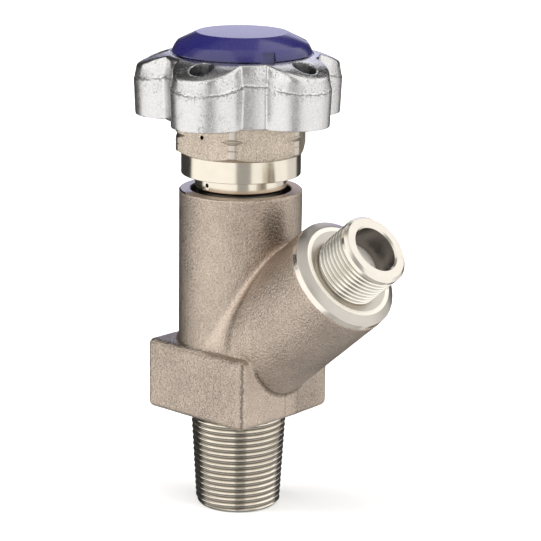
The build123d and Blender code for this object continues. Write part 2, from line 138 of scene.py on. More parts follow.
@labelled
class ForgingSizes(bpy.types.PropertyGroup):
    """Forged body with its neck, foot block and branch."""

    neck_radius: length("Outside of the neck", 18.45)
    block_side: length("Across the flats of the foot block", 39.6)
    block_bottom: length("Height of the foot block's lower face", 30.3)
    block_top: length("Height of the foot block's upper face", 51.9)
    block_round: length("Rounding of the block's edges", 1.9)
    branch_radius: length("Outside of the outlet branch", 17.5)
    branch_end: length("Where the forged branch stops, along its axis", 52.4)
    branch_angle: angle("Lean of the branch from level", 40)
    crossing: length("Height where the branch axis meets the neck axis", 44.5)
    crotch_blend: length("Softness of the line between neck and branch", 1.5)
    under_blend: length("Softness of the line between branch and block", 0.8)
    foot_blend: length("Softness of the line between neck and block", 1.8)
    land_width: length("Of the flat strip that trimming leaves on the block's sides", 5.4)
    land_offset: length("Of that strip from the middle", 2.0)
    side_lean: angle("Lean of the block's sides beside that strip", 4)
    waviness: length("Height of the forging's unevenness", 0.12)
    voxel: length("Grid that the forging is meshed on", 0.52)


@labelled
class TurnedSizes(bpy.types.PropertyGroup):
    """Turned ends of the body: threads, flange, socket and mouth."""

    inlet_pitch: length("Distance between two crests of the inlet thread", 25.4 / 14)
    inlet_depth: length("From crest to root of the inlet thread", 1.0)
    inlet_radius: length("Over the crests at the thread's upper end", 14.56)
    inlet_length: length("Of the tapered thread", 28.8)
    inlet_taper: FloatProperty(description="Radius lost for each unit of length", default=0.06)
    outlet_pitch: length("Distance between two crests of the outlet thread", 1.5)
    outlet_depth: length("From crest to root of the outlet thread", 0.8)
    outlet_radius: length("Over the crests", 10.9)
    outlet_start: length("Where the outlet thread starts, along the branch axis", 55.0)
    outlet_end: length("Outer end of the outlet, along the branch axis", 69.28)
    outlet_nose: length("Smooth band before the outlet's end", 1.2)
    end_chamfer: length("Chamfer of both threaded ends", 0.95)
    flange_radius: length("Outside of the turned flange", 17.3)
    flange_face: length("Where the flange's bevel starts, along the branch axis", 54.3)
    shoulder_face: length("Where the bevel ends, along the branch axis", 56.0)
    shoulder_radius: length("Outside of the flat sealing face", 14.6)
    recess_rim: length("Width of the sealing face around its recess", 1.3)
    recess_depth: length("Of the hollow cone inside that rim", 0.3)
    socket_radius: length("Bore of the outlet socket", 7.0)
    socket_depth: length("Depth of the outlet socket", 9.2)
    passage_radius: length("Bore behind the outlet socket", 3.5)
    passage_start: length("Where that bore starts, along the branch axis", 11.75)
    drilling_radius: length("Of the drilling down from the chamber", 2.2)
    drilling_offset: length("Of that drilling from the spindle's axis", 9.0)
    drilling_bottom: length("Height where it meets the outlet's bore", 52.05)
    inlet_passage_radius: length("Bore up to the seat", 4.0)
    nozzle_radius: length("Outside of the seat's nozzle", 5.9)
    nozzle_height: length("Of the nozzle above the chamber's floor", 2.2)
    chamber_radius: length("Of the chamber under the diaphragms", 11.5)
    chamber_height: length("Of the chamber", 12.0)
    dip_socket_radius: length("Bore for the dip tube in the inlet", 5.5)
    dip_socket_depth: length("Depth of the inlet's bore for the dip tube", 22.0)
    mouth_radius: length("Bore that takes the bonnet", 15.05)
    mouth_depth: length("Depth of that bore", 14.5)


@labelled
class BonnetSizes(bpy.types.PropertyGroup):
    """Hexagon, collar and shank, turned in one piece."""

    across_flats: length("Of the hexagon", 36.6)
    turned_radius: length("Radius to which the hexagon's corners are turned", 20.6)
    turn: angle("Turn of the hexagon", 5.8)
    hexagon_height: length("Of the hexagon", 12.3)
    corner_groove: length("Height of the V groove above the hexagon's foot", 6.4)
    corner_groove_depth: length("Of the V groove", 1.3)
    corner_groove_width: length("Of the V groove", 1.6)
    line_groove: length("Height of the fine groove above the hexagon's foot", 3.85)
    line_groove_depth: length("Of the fine groove", 0.25)
    line_groove_width: length("Of the fine groove", 0.35)
    collar_radius: length("Of the collar under the hexagon", 17.9)
    collar_height: length("Of the collar", 6.4)
    shank_radius: length("Of the shank under the collar", 13.75)
    shank_height: length("Of the shank", 4.9)
    shank_round: length("Rounding of the shank's foot", 1.3)
    relief_radius: length("Of the groove under the shank", 12.6)
    skirt_radius: length("Of the part inside the body", 15.0)
    skirt_depth: length("Of that part's upper end below the neck's rim", 3.5)
    gland_radius: length("Bore around the spindle", 6.1)
    wiper_radius: length("Seat of the wiper seal", 8.5)
    wiper_depth: length("Depth of that seat", 2.5)
    cavity_radius: length("Bore for the brass bush", 9.55)
    cavity_depth: length("Depth of that bore's upper end", 11.0)
    vent_radius: length("Of the leak test drillings", 0.65)
    hexagon_vent_turn: angle("Direction of the drilling in the hexagon", -85.9)
    hexagon_vent_rise: length("Height of that drilling above the hexagon's foot", 6.7)
    shank_vent_turn: angle("Direction of the drilling in the shank", -93.6)
    shank_vent_drop: length("Depth of that drilling under the collar", 2.2)


@labelled
class WheelSizes(bpy.types.PropertyGroup):
    """Five-lobed handwheel casting."""

    lobes: IntProperty(description="Number of lobes", default=5, min=3, max=9)
    lobe_radius: length("Of each lobe's outer curve", 11.2)
    lobe_circle: length("Radius on which the lobes' centres lie", 21.2)
    lobe_turn: angle("Direction of the first lobe", -74.2)
    core_radius: length("Of the floor of the valleys between lobes", 24.0)
    valley_blend: length("Softness of the valleys' corners", 0.65)
    parting: length("Height of the line where the two die halves meet, at the lobes' ends", 131.0)
    parting_rise: FloatProperty(description="Rise of that line for each unit inwards", default=0.24)
    parting_step: length("Mismatch of the two die halves", 0.16)
    rim_height: length("Height of the crown over a lobe's end", 134.4)
    crown_sag: length("Bulge of the crown's slope", 0.75)
    rim_round: length("Rounding between the crown and the sides", 1.1)
    rim_lean: angle("Lean of the sides above the parting line", 9)
    foot_round: length("Rounding of the lower edge", 0.5)
    draft: angle("Lean of the sides", 2.4)
    wall: length("Thickness of the sides", 2.1)
    web: length("Thickness of the crown", 3.0)
    recess_radius: length("Of the recess under the cap", 19.6)
    recess_floor: length("Height of the recess's floor", 132.3)
    seat_radius: length("Of the shallow seat of the cap's foot", 21.15)
    seat_depth: length("Of that seat", 0.5)
    hub_radius: length("Of the hub on the spindle", 9.5)
    hub_bottom: length("Height of the hub's lower end", 122.4)
    rib_thickness: length("Of each rib under the crown", 2.2)
    rib_depth: length("Of each rib under the crown", 4.5)
    hole_radius: length("Of the hole in each lobe", 3.25)
    hole_circle: length("Radius on which the holes lie", 25.6)
    square: length("Across the square on the spindle", 8.5)
    voxel: length("Grid that the casting is meshed on", 0.42)


@labelled
class CapSizes(bpy.types.PropertyGroup):
    """Snap-in cap of the handwheel."""

    top_radius: length("Of the flat top", 13.56)
    break_radius: length("Where the flank meets the skirt", 19.2)
    break_height: length("Of that line above the cap's foot", 3.6)
    gap: length("Between the skirt and the handwheel's crown", 0.45)
    foot_radius: length("Of the skirt's foot", 20.8)
    lip_radius: length("Of the ring that snaps into the recess", 19.5)
    height: length("From the cap's foot to its top", 6.4)
    skirt_arc: length("Radius of the skirt's bulge", 8.0)
    wall: length("Thickness of the moulding", 1.6)
    notch_turn: angle("Direction of the notch", -24.5)
    notch_width: length("Of the notch for a blade", 4.0)
    notch_height: length("Of the notch", 2.9)
    notch_depth: length("Of the notch", 1.5)


class FinishColours(bpy.types.PropertyGroup):
    """Base colours of the finishes."""

    blasted: tint("Blasted steel", "Shot-blasted forging", (0.53, 0.445, 0.375))
    turned: tint("Turned steel", "Bright turned faces", (0.90, 0.85, 0.77))
    polished: tint("Polished steel", "Collar and shank of the bonnet", (0.85, 0.785, 0.68))
    bar: tint("Blasted bar", "Flats of the hexagon", (0.58, 0.50, 0.42))
    cast: tint("Die cast", "Zinc casting", (0.74, 0.74, 0.76))
    cap: tint("Cap", "Moulded plastic", (0.013, 0.011, 0.092))
    brass: tint("Brass", "Bush", (0.72, 0.50, 0.22))
    rubber: tint("Rubber", "Seals", (0.03, 0.03, 0.032))
    disc: tint("Soft disc", "Disc that closes the inlet", (0.78, 0.77, 0.72))
    # The next three are dark colours that paint shade into the casting's hollow, the bores and the outlet's
    # socket
    inside: tint("Inside", "Shaded inside of the casting", (0.16, 0.16, 0.17))
    bored: tint("Bored steel", "Walls of bores", (0.16, 0.15, 0.14))
    socket: tint("Socket wall", "Wall of the outlet's socket", (0.32, 0.30, 0.285))
    thread: tint("Threaded steel", "Crests of the threads", (0.82, 0.77, 0.69))
    bevel: tint("Bevel", "Bevel of the outlet's flange", (0.65, 0.61, 0.56))
    corner: tint("Bar corner", "Turned corners of the hexagon", (0.70, 0.64, 0.57))
    floor: tint("Floor", "Studio floor", (0.85, 0.85, 0.85))


@labelled
class DrumValve(bpy.types.PropertyGroup):
    """Everything that the operators read."""

    forging: PointerProperty(type=ForgingSizes)
    turned: PointerProperty(type=TurnedSizes)
    bonnet: PointerProperty(type=BonnetSizes)
    wheel: PointerProperty(type=WheelSizes)
    cap: PointerProperty(type=CapSizes)
    colours: PointerProperty(type=FinishColours)


# Node trees


def math_node(operation):
    """A method that runs one Math operation."""
    return lambda self, *others: self.math(operation, *others)


class Field:
    """A number at every point, built up from Math nodes in one tree."""

    __add__ = __radd__ = math_node("ADD")
    __sub__ = math_node("SUBTRACT")
    __mul__ = __rmul__ = math_node("MULTIPLY")
    __truediv__ = math_node("DIVIDE")
    abs = math_node("ABSOLUTE")
    sin = math_node("SINE")
    cos = math_node("COSINE")
    tan = math_node("TANGENT")
    sqrt = math_node("SQRT")
    floor = math_node("FLOOR")
    ceiling = math_node("CEIL")
    nearest = math_node("ROUND")
    direction = math_node("ARCTAN2")
    above = math_node("GREATER_THAN")

    def __init__(self, tree, socket):
        self.tree = tree
        self.socket = socket

    def through(self, kind, names, values, **settings):
        """The outcome of a node that takes these values."""
        node = self.tree.nodes.new(kind)
        for key, value in settings.items():
            setattr(node, key, value)
        for name, value in zip(names, values):
            if isinstance(value, Field):
                self.tree.links.new(value.socket, node.inputs[name])
            else:
                node.inputs[name].default_value = value
        return Field(self.tree, node.outputs[0])

    def math(self, operation, *others):
        return self.through("ShaderNodeMath", range(3), (self, *others), operation=operation)

    def step(self, low, high):
        """0 below low, 1 above high and smooth between."""
        names = ("Value", "From Min", "From Max")
        return self.through("ShaderNodeMapRange", names, (self, low, high), interpolation_type="SMOOTHSTEP")

    def fall(self, low, high):
        """1 below low, 0 above high and smooth between."""
        return 1.0 - self.step(low, high)

    def __neg__(self):
        return self * -1

    def __rsub__(self, other):
        return -self + other

    def __rtruediv__(self, other):
        return self.math("POWER", -1.0) * other

    def least(self, other, blend=0):
        return self.math("SMOOTH_MIN", other, blend) if blend else self.math("MINIMUM", other)

    def most(self, other, blend=0):
        return self.math("SMOOTH_MAX", other, blend) if blend else self.math("MAXIMUM", other)


def hypotenuse(a, b):
    """Length of the vector (a, b)."""
    return (a * a + b * b).sqrt()


class Nodes:
    """Adds nodes to a tree, with their inputs given by name."""

    def __init__(self, tree):
        self.tree = tree

    def node(self, kind, settings=(), **inputs):
        """A new node. Underscores in an input's name stand for spaces, and in0, in1 count inputs."""
        node = self.tree.nodes.new(kind)
        for key, value in dict(settings).items():
            setattr(node, key, value)
        for key, value in inputs.items():
            counted = key[:2] == "in" and key[2:].isdigit()
            self.feed(node.inputs[int(key[2:]) if counted else key.replace("_", " ")], value)
        return node

    def feed(self, slot, value):
        """Links or sets one input."""
        if isinstance(value, Field):
            self.tree.links.new(value.socket, slot)
        elif isinstance(value, bpy.types.NodeSocket):
            self.tree.links.new(value, slot)
        else:
            slot.default_value = value

    def field(self, socket):
        return Field(self.tree, socket)

    def combine(self, x, y, z):
        """A vector from three fields or numbers."""
        return self.node("ShaderNodeCombineXYZ", X=x, Y=y, Z=z).outputs[0]

    def separate(self, vector):
        """Three fields from a vector."""
        node = self.node("ShaderNodeSeparateXYZ", Vector=vector)
        return [self.field(socket) for socket in node.outputs]

    def noise(self, place, scale, detail=2, roughness=0.5):
        """Noise from 0 to 1 at a place."""
        node = self.node("ShaderNodeTexNoise", Vector=place, Scale=scale, Detail=detail, Roughness=roughness)
        return self.field(node.outputs[0])


class Group(Nodes):
    """A node group under construction, with named inputs and outputs."""

    def __init__(self, name, kind, inputs, outputs):
        super().__init__(bpy.data.node_groups.new(name, kind))
        for in_out, sockets in (("INPUT", inputs), ("OUTPUT", outputs)):
            for label, socket_type in sockets:
                self.tree.interface.new_socket(label, in_out=in_out, socket_type="NodeSocket" + socket_type)
        self.source = self.node("NodeGroupInput")
        self.sink = self.node("NodeGroupOutput")

    def __getitem__(self, label):
        """The named input as a field."""
        return self.field(self.source.outputs[label])


class GeometryGroup(Group):
    """A Geometry Nodes tree with named sizes, which ends in real geometry with its material."""

    def __init__(self, name, *labels, sizes=None, whole=(), paints=("Material",)):
        labels += tuple(label(key) for key in getattr(sizes, "__annotations__", ()))
        kinds = {name: "Float" for name in labels}
        kinds.update((name, "Int") for name in whole)
        kinds.update((name, "Material") for name in paints)
        super().__init__(name, "GeometryNodeTree", kinds.items(), [("Geometry", "Geometry")])

    def paint(self, geometry, name="Material", **choice):
        """The geometry with one of the group's materials set."""
        material = self.source.outputs[name]
        return self.node("GeometryNodeSetMaterial", Geometry=geometry, Material=material, **choice).outputs[0]

    def place(self):
        """The place of each point, as three fields."""
        return self.separate(self.node("GeometryNodeInputPosition").outputs[0])

    def finish(self, geometry):
        real = self.node("GeometryNodeRealizeInstances", Geometry=geometry).outputs[0]
        self.feed(self.sink.inputs["Geometry"], self.paint(real))
        return self.tree

    def skin(self, distance, low, high, voxel):
        """The surface where distance is zero, inside a box, with each point moved onto it exactly."""
        counts = [((top - bottom) / voxel).ceiling() for bottom, top in zip(low, high)]
        ends = {"Min": self.combine(*low), "Max": self.combine(*high)}
        cube = self.node("GeometryNodeVolumeCube", Density=-distance, **ends)
        for axis, count in zip("XYZ", counts):
            self.feed(cube.inputs["Resolution " + axis], count)
        cube.inputs["Background"].default_value = -1
        mesh = self.node("GeometryNodeVolumeToMesh", Volume=cube.outputs[0], Threshold=0.0)
        normal = self.node("GeometryNodeInputNormal").outputs[0]
        onto = self.node("ShaderNodeVectorMath", {"operation": "SCALE"}, Vector=normal, Scale=-distance)
        moved = self.node("GeometryNodeSetPosition", Geometry=mesh.outputs[0], Offset=onto.outputs[0])
        smooth = self.node("GeometryNodeSetShadeSmooth", Geometry=moved.outputs[0])
        return smooth.outputs[0]


def bake(piece, modifier):
    """Puts a modifier's outcome into the piece's mesh."""
    depsgraph = bpy.context.evaluated_depsgraph_get()
    mesh = bpy.data.meshes.new_from_object(piece.evaluated_get(depsgraph))
    piece.modifiers.remove(modifier)
    piece.data = mesh
    mesh.name = piece.name
    return piece


def grow(name, tree, material, **sizes):
    """The plain mesh object that a Geometry Nodes tree makes with these sizes."""
    piece = bpy.data.objects.new(name, bpy.data.meshes.new(name))
    bpy.context.scene.collection.objects.link(piece)
    modifier = piece.modifiers.new("grow", "NODES")
    modifier.node_group = tree
    values = {label(key): value for key, value in sizes.items()}
    values["Material"] = material
    for item in tree.interface.items_tree:
        if item.in_out == "INPUT":
            modifier[item.identifier] = values[item.name]
    return bake(piece, modifier)


def sizes_in(group):
    """The sizes of a property group, by name."""
    return {key: getattr(group, key) for key in group.__annotations__}


# Solids by mesh code


def rounded_outline(corners, steps=4):
    """Points of an outline whose corners are (radius, height) or (radius, height, rounding)."""
    points = []
    for index, corner in enumerate(corners):
        here = Vector(corner[:2])
        if len(corner) < 3:
            points.append(here)
            continue
        before = (Vector(corners[index - 1][:2]) - here).normalized()
        after = (Vector(corners[(index + 1) % len(corners)][:2]) - here).normalized()
        half = before.angle(after) / 2
        middle = here + (before + after).normalized() * (corner[2] / sin(half))
        start = here + before * (corner[2] / tan(half)) - middle
        finish = here + after * (corner[2] / tan(half)) - middle
        for step in range(steps + 1):
            points.append(middle + start.slerp(finish, step / steps) * start.length)
    return points


def bulge(start, finish, radius, steps=8):
    """Points of an outward arc from one (radius, height) corner up to another."""
    chord = finish - start
    outward = Vector((chord.y, -chord.x)).normalized()
    middle = (start + finish) / 2 - outward * sqrt(radius * radius - chord.length_squared / 4)
    first, last = start - middle, finish - middle
    return [middle + first.slerp(last, step / steps) * radius for step in range(steps + 1)]


def stepped(start, *steps):
    """Corners of a stepped bore or stem: each step is a radius and the height where it ends."""
    corners = []
    for radius, end in steps:
        corners += [(radius, start), (radius, end)]
        start = end
    return corners


def add_turned(shell, corners, segments=128, place=Matrix.Identity(4), steps=4):
    """Adds a turned solid to a bmesh. Where its outline meets the axis it ends in a pole."""
    rings = []
    turns = [2 * pi * k / segments for k in range(segments)]
    for point in rounded_outline(corners, steps):
        ring = [(0, 0)] if point.x < MERGE else [(point.x * cos(turn), point.x * sin(turn)) for turn in turns]
        rings.append([shell.verts.new(place @ Vector((x, y, point.y))) for x, y in ring])
    for lower, upper in zip(rings, rings[1:] + rings[:1]):
        if len(lower) == 1 and len(upper) == 1:
            continue
        for k in range(segments):
            following = (k + 1) % segments
            loop = [lower[k % len(lower)], lower[following % len(lower)]]
            loop += [upper[following % len(upper)], upper[k % len(upper)]]
            shell.faces.new(list(dict.fromkeys(loop)))


def solid(name, shell, material=None):
    """Ends a bmesh as an object with outward faces."""
    bmesh.ops.recalc_face_normals(shell, faces=shell.faces)
    mesh = bpy.data.meshes.new(name)
    shell.to_mesh(mesh)
    shell.free()
    if material:
        mesh.materials.append(material)
    piece = bpy.data.objects.new(name, mesh)
    bpy.context.scene.collection.objects.link(piece)
    return piece


def turned_solid(name, corners, material=None, **choices):
    """One turned solid as an object."""
    shell = bmesh.new()
    add_turned(shell, corners, **choices)
    return solid(name, shell, material)


def prism(name, corners, low, high, place=Matrix.Identity(4)):
    """A straight prism over a plan of (x, y) corners."""
    shell = bmesh.new()
    ends = [[shell.verts.new(place @ Vector((x, y, z))) for x, y in corners] for z in (low, high)]
    for k in range(len(corners)):
        following = (k + 1) % len(corners)
        shell.faces.new((ends[0][k], ends[0][following], ends[1][following], ends[1][k]))
    for end in ends:
        shell.faces.new(end)
    return solid(name, shell)


def close_ends(piece):
    """Fills the open ends of a tube."""
    shell = bmesh.new()
    shell.from_mesh(piece.data)
    bmesh.ops.holes_fill(shell, edges=[edge for edge in shell.edges if edge.is_boundary])
    bmesh.ops.recalc_face_normals(shell, faces=shell.faces)
    shell.to_mesh(piece.data)
    shell.free()
    return piece


def applied(piece, kind, **settings):
    """Puts one modifier into the piece's mesh."""
    modifier = piece.modifiers.new("applied", kind)
    for key, value in settings.items():
        setattr(modifier, key, value)
    return bake(piece, modifier)


def combine_solids(piece, *others, operation="DIFFERENCE"):
    """Cuts the others from a piece, or joins or intersects them, and removes them."""
    for other in others:
        applied(piece, "BOOLEAN", operation=operation, solver="MANIFOLD", object=other)
        bpy.data.objects.remove(other)
    return piece


def soften(piece, width=0, angle=32):
    """Smooth shading with crisp edges past an angle, after a narrow bevel if a width is given."""
    if width:
        applied(piece, "BEVEL", width=width, segments=2, angle_limit=radians(angle))
    piece.data.shade_smooth()
    piece.data.set_sharp_from_angle(angle=radians(angle))
    return piece


# Valve body


def forging_tree():
    """The forging's skin: neck, foot block and branch, blended as a die forms them."""
    tree = GeometryGroup("Forging", "Neck top", "Margin", sizes=ForgingSizes)
    x, y, z = tree.place()
    margin = tree["Margin"]
    lean = tree["Branch angle"]
    rise = z - tree["Crossing"]
    along = x * lean.cos() + rise * lean.sin()
    across = hypotenuse(rise * lean.cos() - x * lean.sin(), y)
    middle = (tree["Block top"] + tree["Block bottom"]) / 2
    neck = (hypotenuse(x, y) - tree["Neck radius"]).most(z - tree["Neck top"] - margin).most(middle - z)
    branch = (across - tree["Branch radius"]).most(along - tree["Branch end"], END_BLEND).most(-along)

    # The block's sides lean back a little on both sides of the trimmed parting land
    rounding = tree["Block round"]
    half = tree["Block side"] / 2 - rounding
    beside = y - tree["Land offset"]
    half_land = tree["Land width"] / 2
    set_back = (beside - half_land).most(0.0) + (-beside - half_land).most(0.0) * FAR_SIDE_LEAN
    set_back = set_back * tree["Side lean"].tan() * x.step(0.0, 1 * MM)
    reach = [x.abs() - half + set_back, y.abs() - half]
    reach.append((z - middle).abs() - (tree["Block top"] - tree["Block bottom"]) / 2 + rounding)
    outside = [side.most(0.0) for side in reach]
    inside = reach[0].most(reach[1]).most(reach[2]).least(0.0)
    block = hypotenuse(hypotenuse(outside[0], outside[1]), outside[2]) + inside - rounding
    above_block = z.step(tree["Block top"] - 2 * MM, tree["Block top"] + 3 * MM)
    blend = tree["Under blend"] + (tree["Crotch blend"] - tree["Under blend"]) * above_block
    skin = neck.least(block, tree["Foot blend"]).least(branch, blend)
    skin = skin + (tree.noise(tree.combine(x, y, z), WAVES_PER_METRE, 1.0) - 0.5) * tree["Waviness"]

    outer = tree["Block side"] / 2 + margin
    low = (-outer, -outer, tree["Block bottom"] - margin)
    reach_x = tree["Branch end"] * lean.cos() + tree["Branch radius"] * lean.sin() + margin
    high = (reach_x, outer, tree["Neck top"] + margin * 2)
    return tree.finish(tree.skin(skin, low, high, tree["Voxel"]))


def thread_tree():
    """A screw thread as one long strip that winds round, closed to a tube where its turns meet."""
    tree = GeometryGroup(
        "Thread", "Pitch", "Depth", "Radius", "Taper", "Start", "End", "Start chamfer", whole=("Columns",),
    )
    pitch = tree["Pitch"]
    turns = ((tree["End"] - tree["Start"]) / pitch).ceiling() + 2.0
    strip = tree.node(
        "GeometryNodeMeshGrid", Size_X=1.0, Size_Y=1.0, Vertices_Y=THREAD_ROWS + 1,
        Vertices_X=turns * tree["Columns"] + 1.0,
    )
    wound, across, flat = tree.place()
    wound = (wound + 0.5) * turns
    height = tree["Start"] + (wound + across - 0.5) * pitch
    height = height.most(tree["Start"]).least(tree["End"])
    phase = (height - tree["Start"]) / pitch - wound
    from_crest = (phase - phase.floor() - 0.5).abs()
    ridge = ((0.5 - ROOT_SHARE - from_crest) / FLANK_SHARE).step(0.0, 1.0)
    radius = tree["Radius"] - tree["Taper"] * (tree["End"] - height) - tree["Depth"] * (1.0 - ridge)
    foot = tree["Radius"] - tree["Taper"] * (tree["End"] - tree["Start"])
    radius = radius.least(foot - tree["Start chamfer"] + height - tree["Start"])
    turn = wound * (2 * pi)
    place = tree.combine(radius * turn.cos(), radius * turn.sin(), height)
    wrapped = tree.node("GeometryNodeSetPosition", Geometry=strip.outputs[0], Position=place)
    joined = tree.node("GeometryNodeMergeByDistance", Geometry=wrapped.outputs[0], Distance=MERGE)
    return tree.finish(joined.outputs[0])


def branch_place(sizes):
    """The outlet's own frame: +Z along the branch from where it crosses the neck axis."""
    turn = Matrix.Rotation(pi / 2 - sizes.branch_angle, 4, "Y")
    return Matrix.Translation((0, 0, sizes.crossing)) @ turn


def body_ends(forging, turned, outlet):
    """The threads, the stem between inlet thread and block, and the flange with the outlet's nose."""
    tree = thread_tree()
    inlet = close_ends(grow(
        "inlet_thread", tree, None, radius=turned.inlet_radius, taper=turned.inlet_taper, start=0.0,
        end=turned.inlet_length, start_chamfer=turned.end_chamfer, columns=INLET_ROUND,
        pitch=turned.inlet_pitch, depth=turned.inlet_depth,
    ))
    root = turned.inlet_radius - turned.inlet_depth
    stem = turned_solid("inlet_neck", [
        (0, 3 * MM),
        (root - 2 * MM, 3 * MM),
        (root - 2 * MM, turned.inlet_length - 1.5 * MM),
        (root - 0.2 * MM, turned.inlet_length - 0.4 * MM, 0.3 * MM),
        (root - 0.2 * MM, forging.block_bottom + 2 * MM),
        (0, forging.block_bottom + 2 * MM),
    ], segments=INLET_ROUND)
    end = turned.outlet_end
    nose = end - turned.outlet_nose
    outlet_thread = close_ends(grow(
        "outlet_thread", tree, None, radius=turned.outlet_radius, taper=0.0, start=turned.outlet_start,
        end=nose, start_chamfer=turned.outlet_depth, columns=OUTLET_ROUND, pitch=turned.outlet_pitch,
        depth=turned.outlet_depth,
    ))
    outlet_thread.data.transform(outlet)
    relief = turned.outlet_radius - turned.outlet_depth
    flange = turned_solid("outlet_flange", [
        (0, forging.branch_end - 3 * MM),
        (turned.flange_radius - 0.3 * MM, forging.branch_end - 3 * MM),
        (turned.flange_radius, forging.branch_end - 0.5 * MM),
        (turned.flange_radius, turned.flange_face, 0.25 * MM),
        (turned.shoulder_radius, turned.shoulder_face, 0.2 * MM),
        (turned.shoulder_radius - turned.recess_rim, turned.shoulder_face),
        (relief, turned.shoulder_face - turned.recess_depth),
        (relief, turned.outlet_start + turned.outlet_pitch),
        (relief - 1 * MM, turned.outlet_start + turned.outlet_pitch * 2),
        (relief - 1 * MM, nose - turned.end_chamfer - 1 * MM),
        (turned.outlet_radius, nose - turned.end_chamfer),
        (turned.outlet_radius, end - turned.end_chamfer, 0.15 * MM),
        (turned.outlet_radius - turned.end_chamfer, end, 0.15 * MM),
        (0, end),
    ], place=outlet)
    return stem, inlet, flange, outlet_thread


def body_cutters(forging, turned, outlet):
    """The mouth with the chamber and the inlet's bore, the drilling, and the outlet's socket and bore."""
    seat = neck_top - turned.mouth_depth
    chamber_floor = seat - turned.chamber_height
    nozzle_top = chamber_floor + turned.nozzle_height
    outside = forging.neck_radius + 4 * MM
    mouth = turned_solid("mouth_cutter", [
        (0, -OVERRUN),
        (turned.dip_socket_radius + 1.4 * MM, -OVERRUN),
        *stepped(
            0.4 * MM, (turned.dip_socket_radius, turned.dip_socket_depth),
            (turned.inlet_passage_radius, nozzle_top), (turned.nozzle_radius, chamber_floor),
            (turned.chamber_radius, seat), (turned.mouth_radius, neck_top - 0.3 * MM),
        ),
        (turned.mouth_radius + 0.3 * MM, neck_top),
        (forging.neck_radius - 0.35 * MM, neck_top, 0.2 * MM),
        (outside, neck_top - 4.35 * MM),
        (outside, neck_top + 6 * MM),
        (0, neck_top + 6 * MM),
    ])
    drilling = turned_solid("drilling_cutter", [
        (0, turned.drilling_bottom),
        *stepped(turned.drilling_bottom, (turned.drilling_radius, chamber_floor + OVERRUN)),
        (0, chamber_floor + OVERRUN),
    ], segments=32, place=Matrix.Translation((turned.drilling_offset, 0, 0)))
    end = turned.outlet_end
    floor = end - turned.socket_depth
    socket = turned_solid("socket_cutter", [
        (0, end + OVERRUN),
        (turned.socket_radius + 1.5 * MM, end + OVERRUN),
        (turned.socket_radius, end - 0.5 * MM),
        (turned.socket_radius, floor, 0.5 * MM),
        (turned.passage_radius, floor),
        (turned.passage_radius, turned.passage_start),
        (0, turned.passage_start),
    ], segments=OUTLET_ROUND, place=outlet)
    return mouth, drilling, socket


def build_body(settings, paints):
    """The forging with its turned and threaded ends, in one skin."""
    forging, turned = settings.forging, settings.turned
    outlet = branch_place(forging)
    sizes = sizes_in(forging)
    body = grow("valve_body_skin", forging_tree(), None, neck_top=neck_top, margin=SKIN_MARGIN, **sizes)
    combine_solids(body, *body_ends(forging, turned, outlet), operation="UNION")
    combine_solids(body, *body_cutters(forging, turned, outlet))
    paint_body(body.data, forging, turned, paints)
    soften(body)
    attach(body, "housing")
    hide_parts("valve_body")


BODY_PAINTS = (
    "blasted", "thread", "turned_outlet", "bore", "socket", "faced", "outlet_thread", "bevel", "shoulder",
)


def paint_body(mesh, forging, turned, paints):
    """Gives each face the forged finish, or the turned finish of the end that it lies on."""
    middles = np.empty(len(mesh.polygons) * 3)
    mesh.polygons.foreach_get("center", middles)
    x, y, z = middles.reshape(-1, 3).T
    lean = forging.branch_angle
    rise = z - forging.crossing
    along = x * cos(lean) + rise * sin(lean)
    across = np.hypot(rise * cos(lean) - x * sin(lean), y)
    around = np.hypot(x, y)
    shoulder = turned.shoulder_face
    floor = turned.outlet_end - turned.socket_depth
    nose = turned.outlet_end - turned.outlet_nose - turned.end_chamfer

    def between(values, low, high):
        return (values > low) & (values < high)

    upright = (z < forging.block_bottom - EDGE) | (around < forging.neck_radius - 1 * MM)
    upright |= z > neck_top - 0.5 * MM
    inside = (around < turned.mouth_radius + EDGE) & between(z, forging.block_bottom, neck_top - 0.4 * MM)
    inside |= (around < turned.dip_socket_radius + EDGE) & (z > 0.3 * MM)
    inside |= (across < turned.passage_radius + EDGE) & (along < floor - EDGE)
    socket = across < turned.socket_radius + EDGE
    recess = between(along, shoulder - turned.recess_depth - EDGE, shoulder - EDGE)
    recess &= between(across, turned.outlet_radius, turned.shoulder_radius - turned.recess_rim + EDGE)
    finish = np.zeros(len(z), dtype=np.int32)
    for name, faces in (
        ("thread", upright & (along < 30 * MM)),
        ("turned_outlet", (along > forging.branch_end + EDGE) & (across < forging.branch_radius)),
        ("bevel", between(along, turned.flange_face, shoulder - EDGE) & (across > turned.shoulder_radius)),
        ("outlet_thread", between(along, turned.outlet_start, nose) & (across < turned.outlet_radius + EDGE)),
        # Bore and socket walls get dark finishes that paint shade into them
        ("bore", inside),
        ("socket", socket & between(along, floor + EDGE, turned.outlet_end - 0.4 * MM)),
        ("faced", socket & (np.abs(along - floor) < EDGE)),
        ("shoulder", (across > turned.outlet_radius) & (np.abs(along - shoulder) < EDGE)),
        ("bevel", recess),
    ):
        finish[faces] = BODY_PAINTS.index(name)
    mesh.materials.clear()
    for name in BODY_PAINTS:
        mesh.materials.append(paints[name])
    mesh.polygons.foreach_set("material_index", finish)


# Bonnet


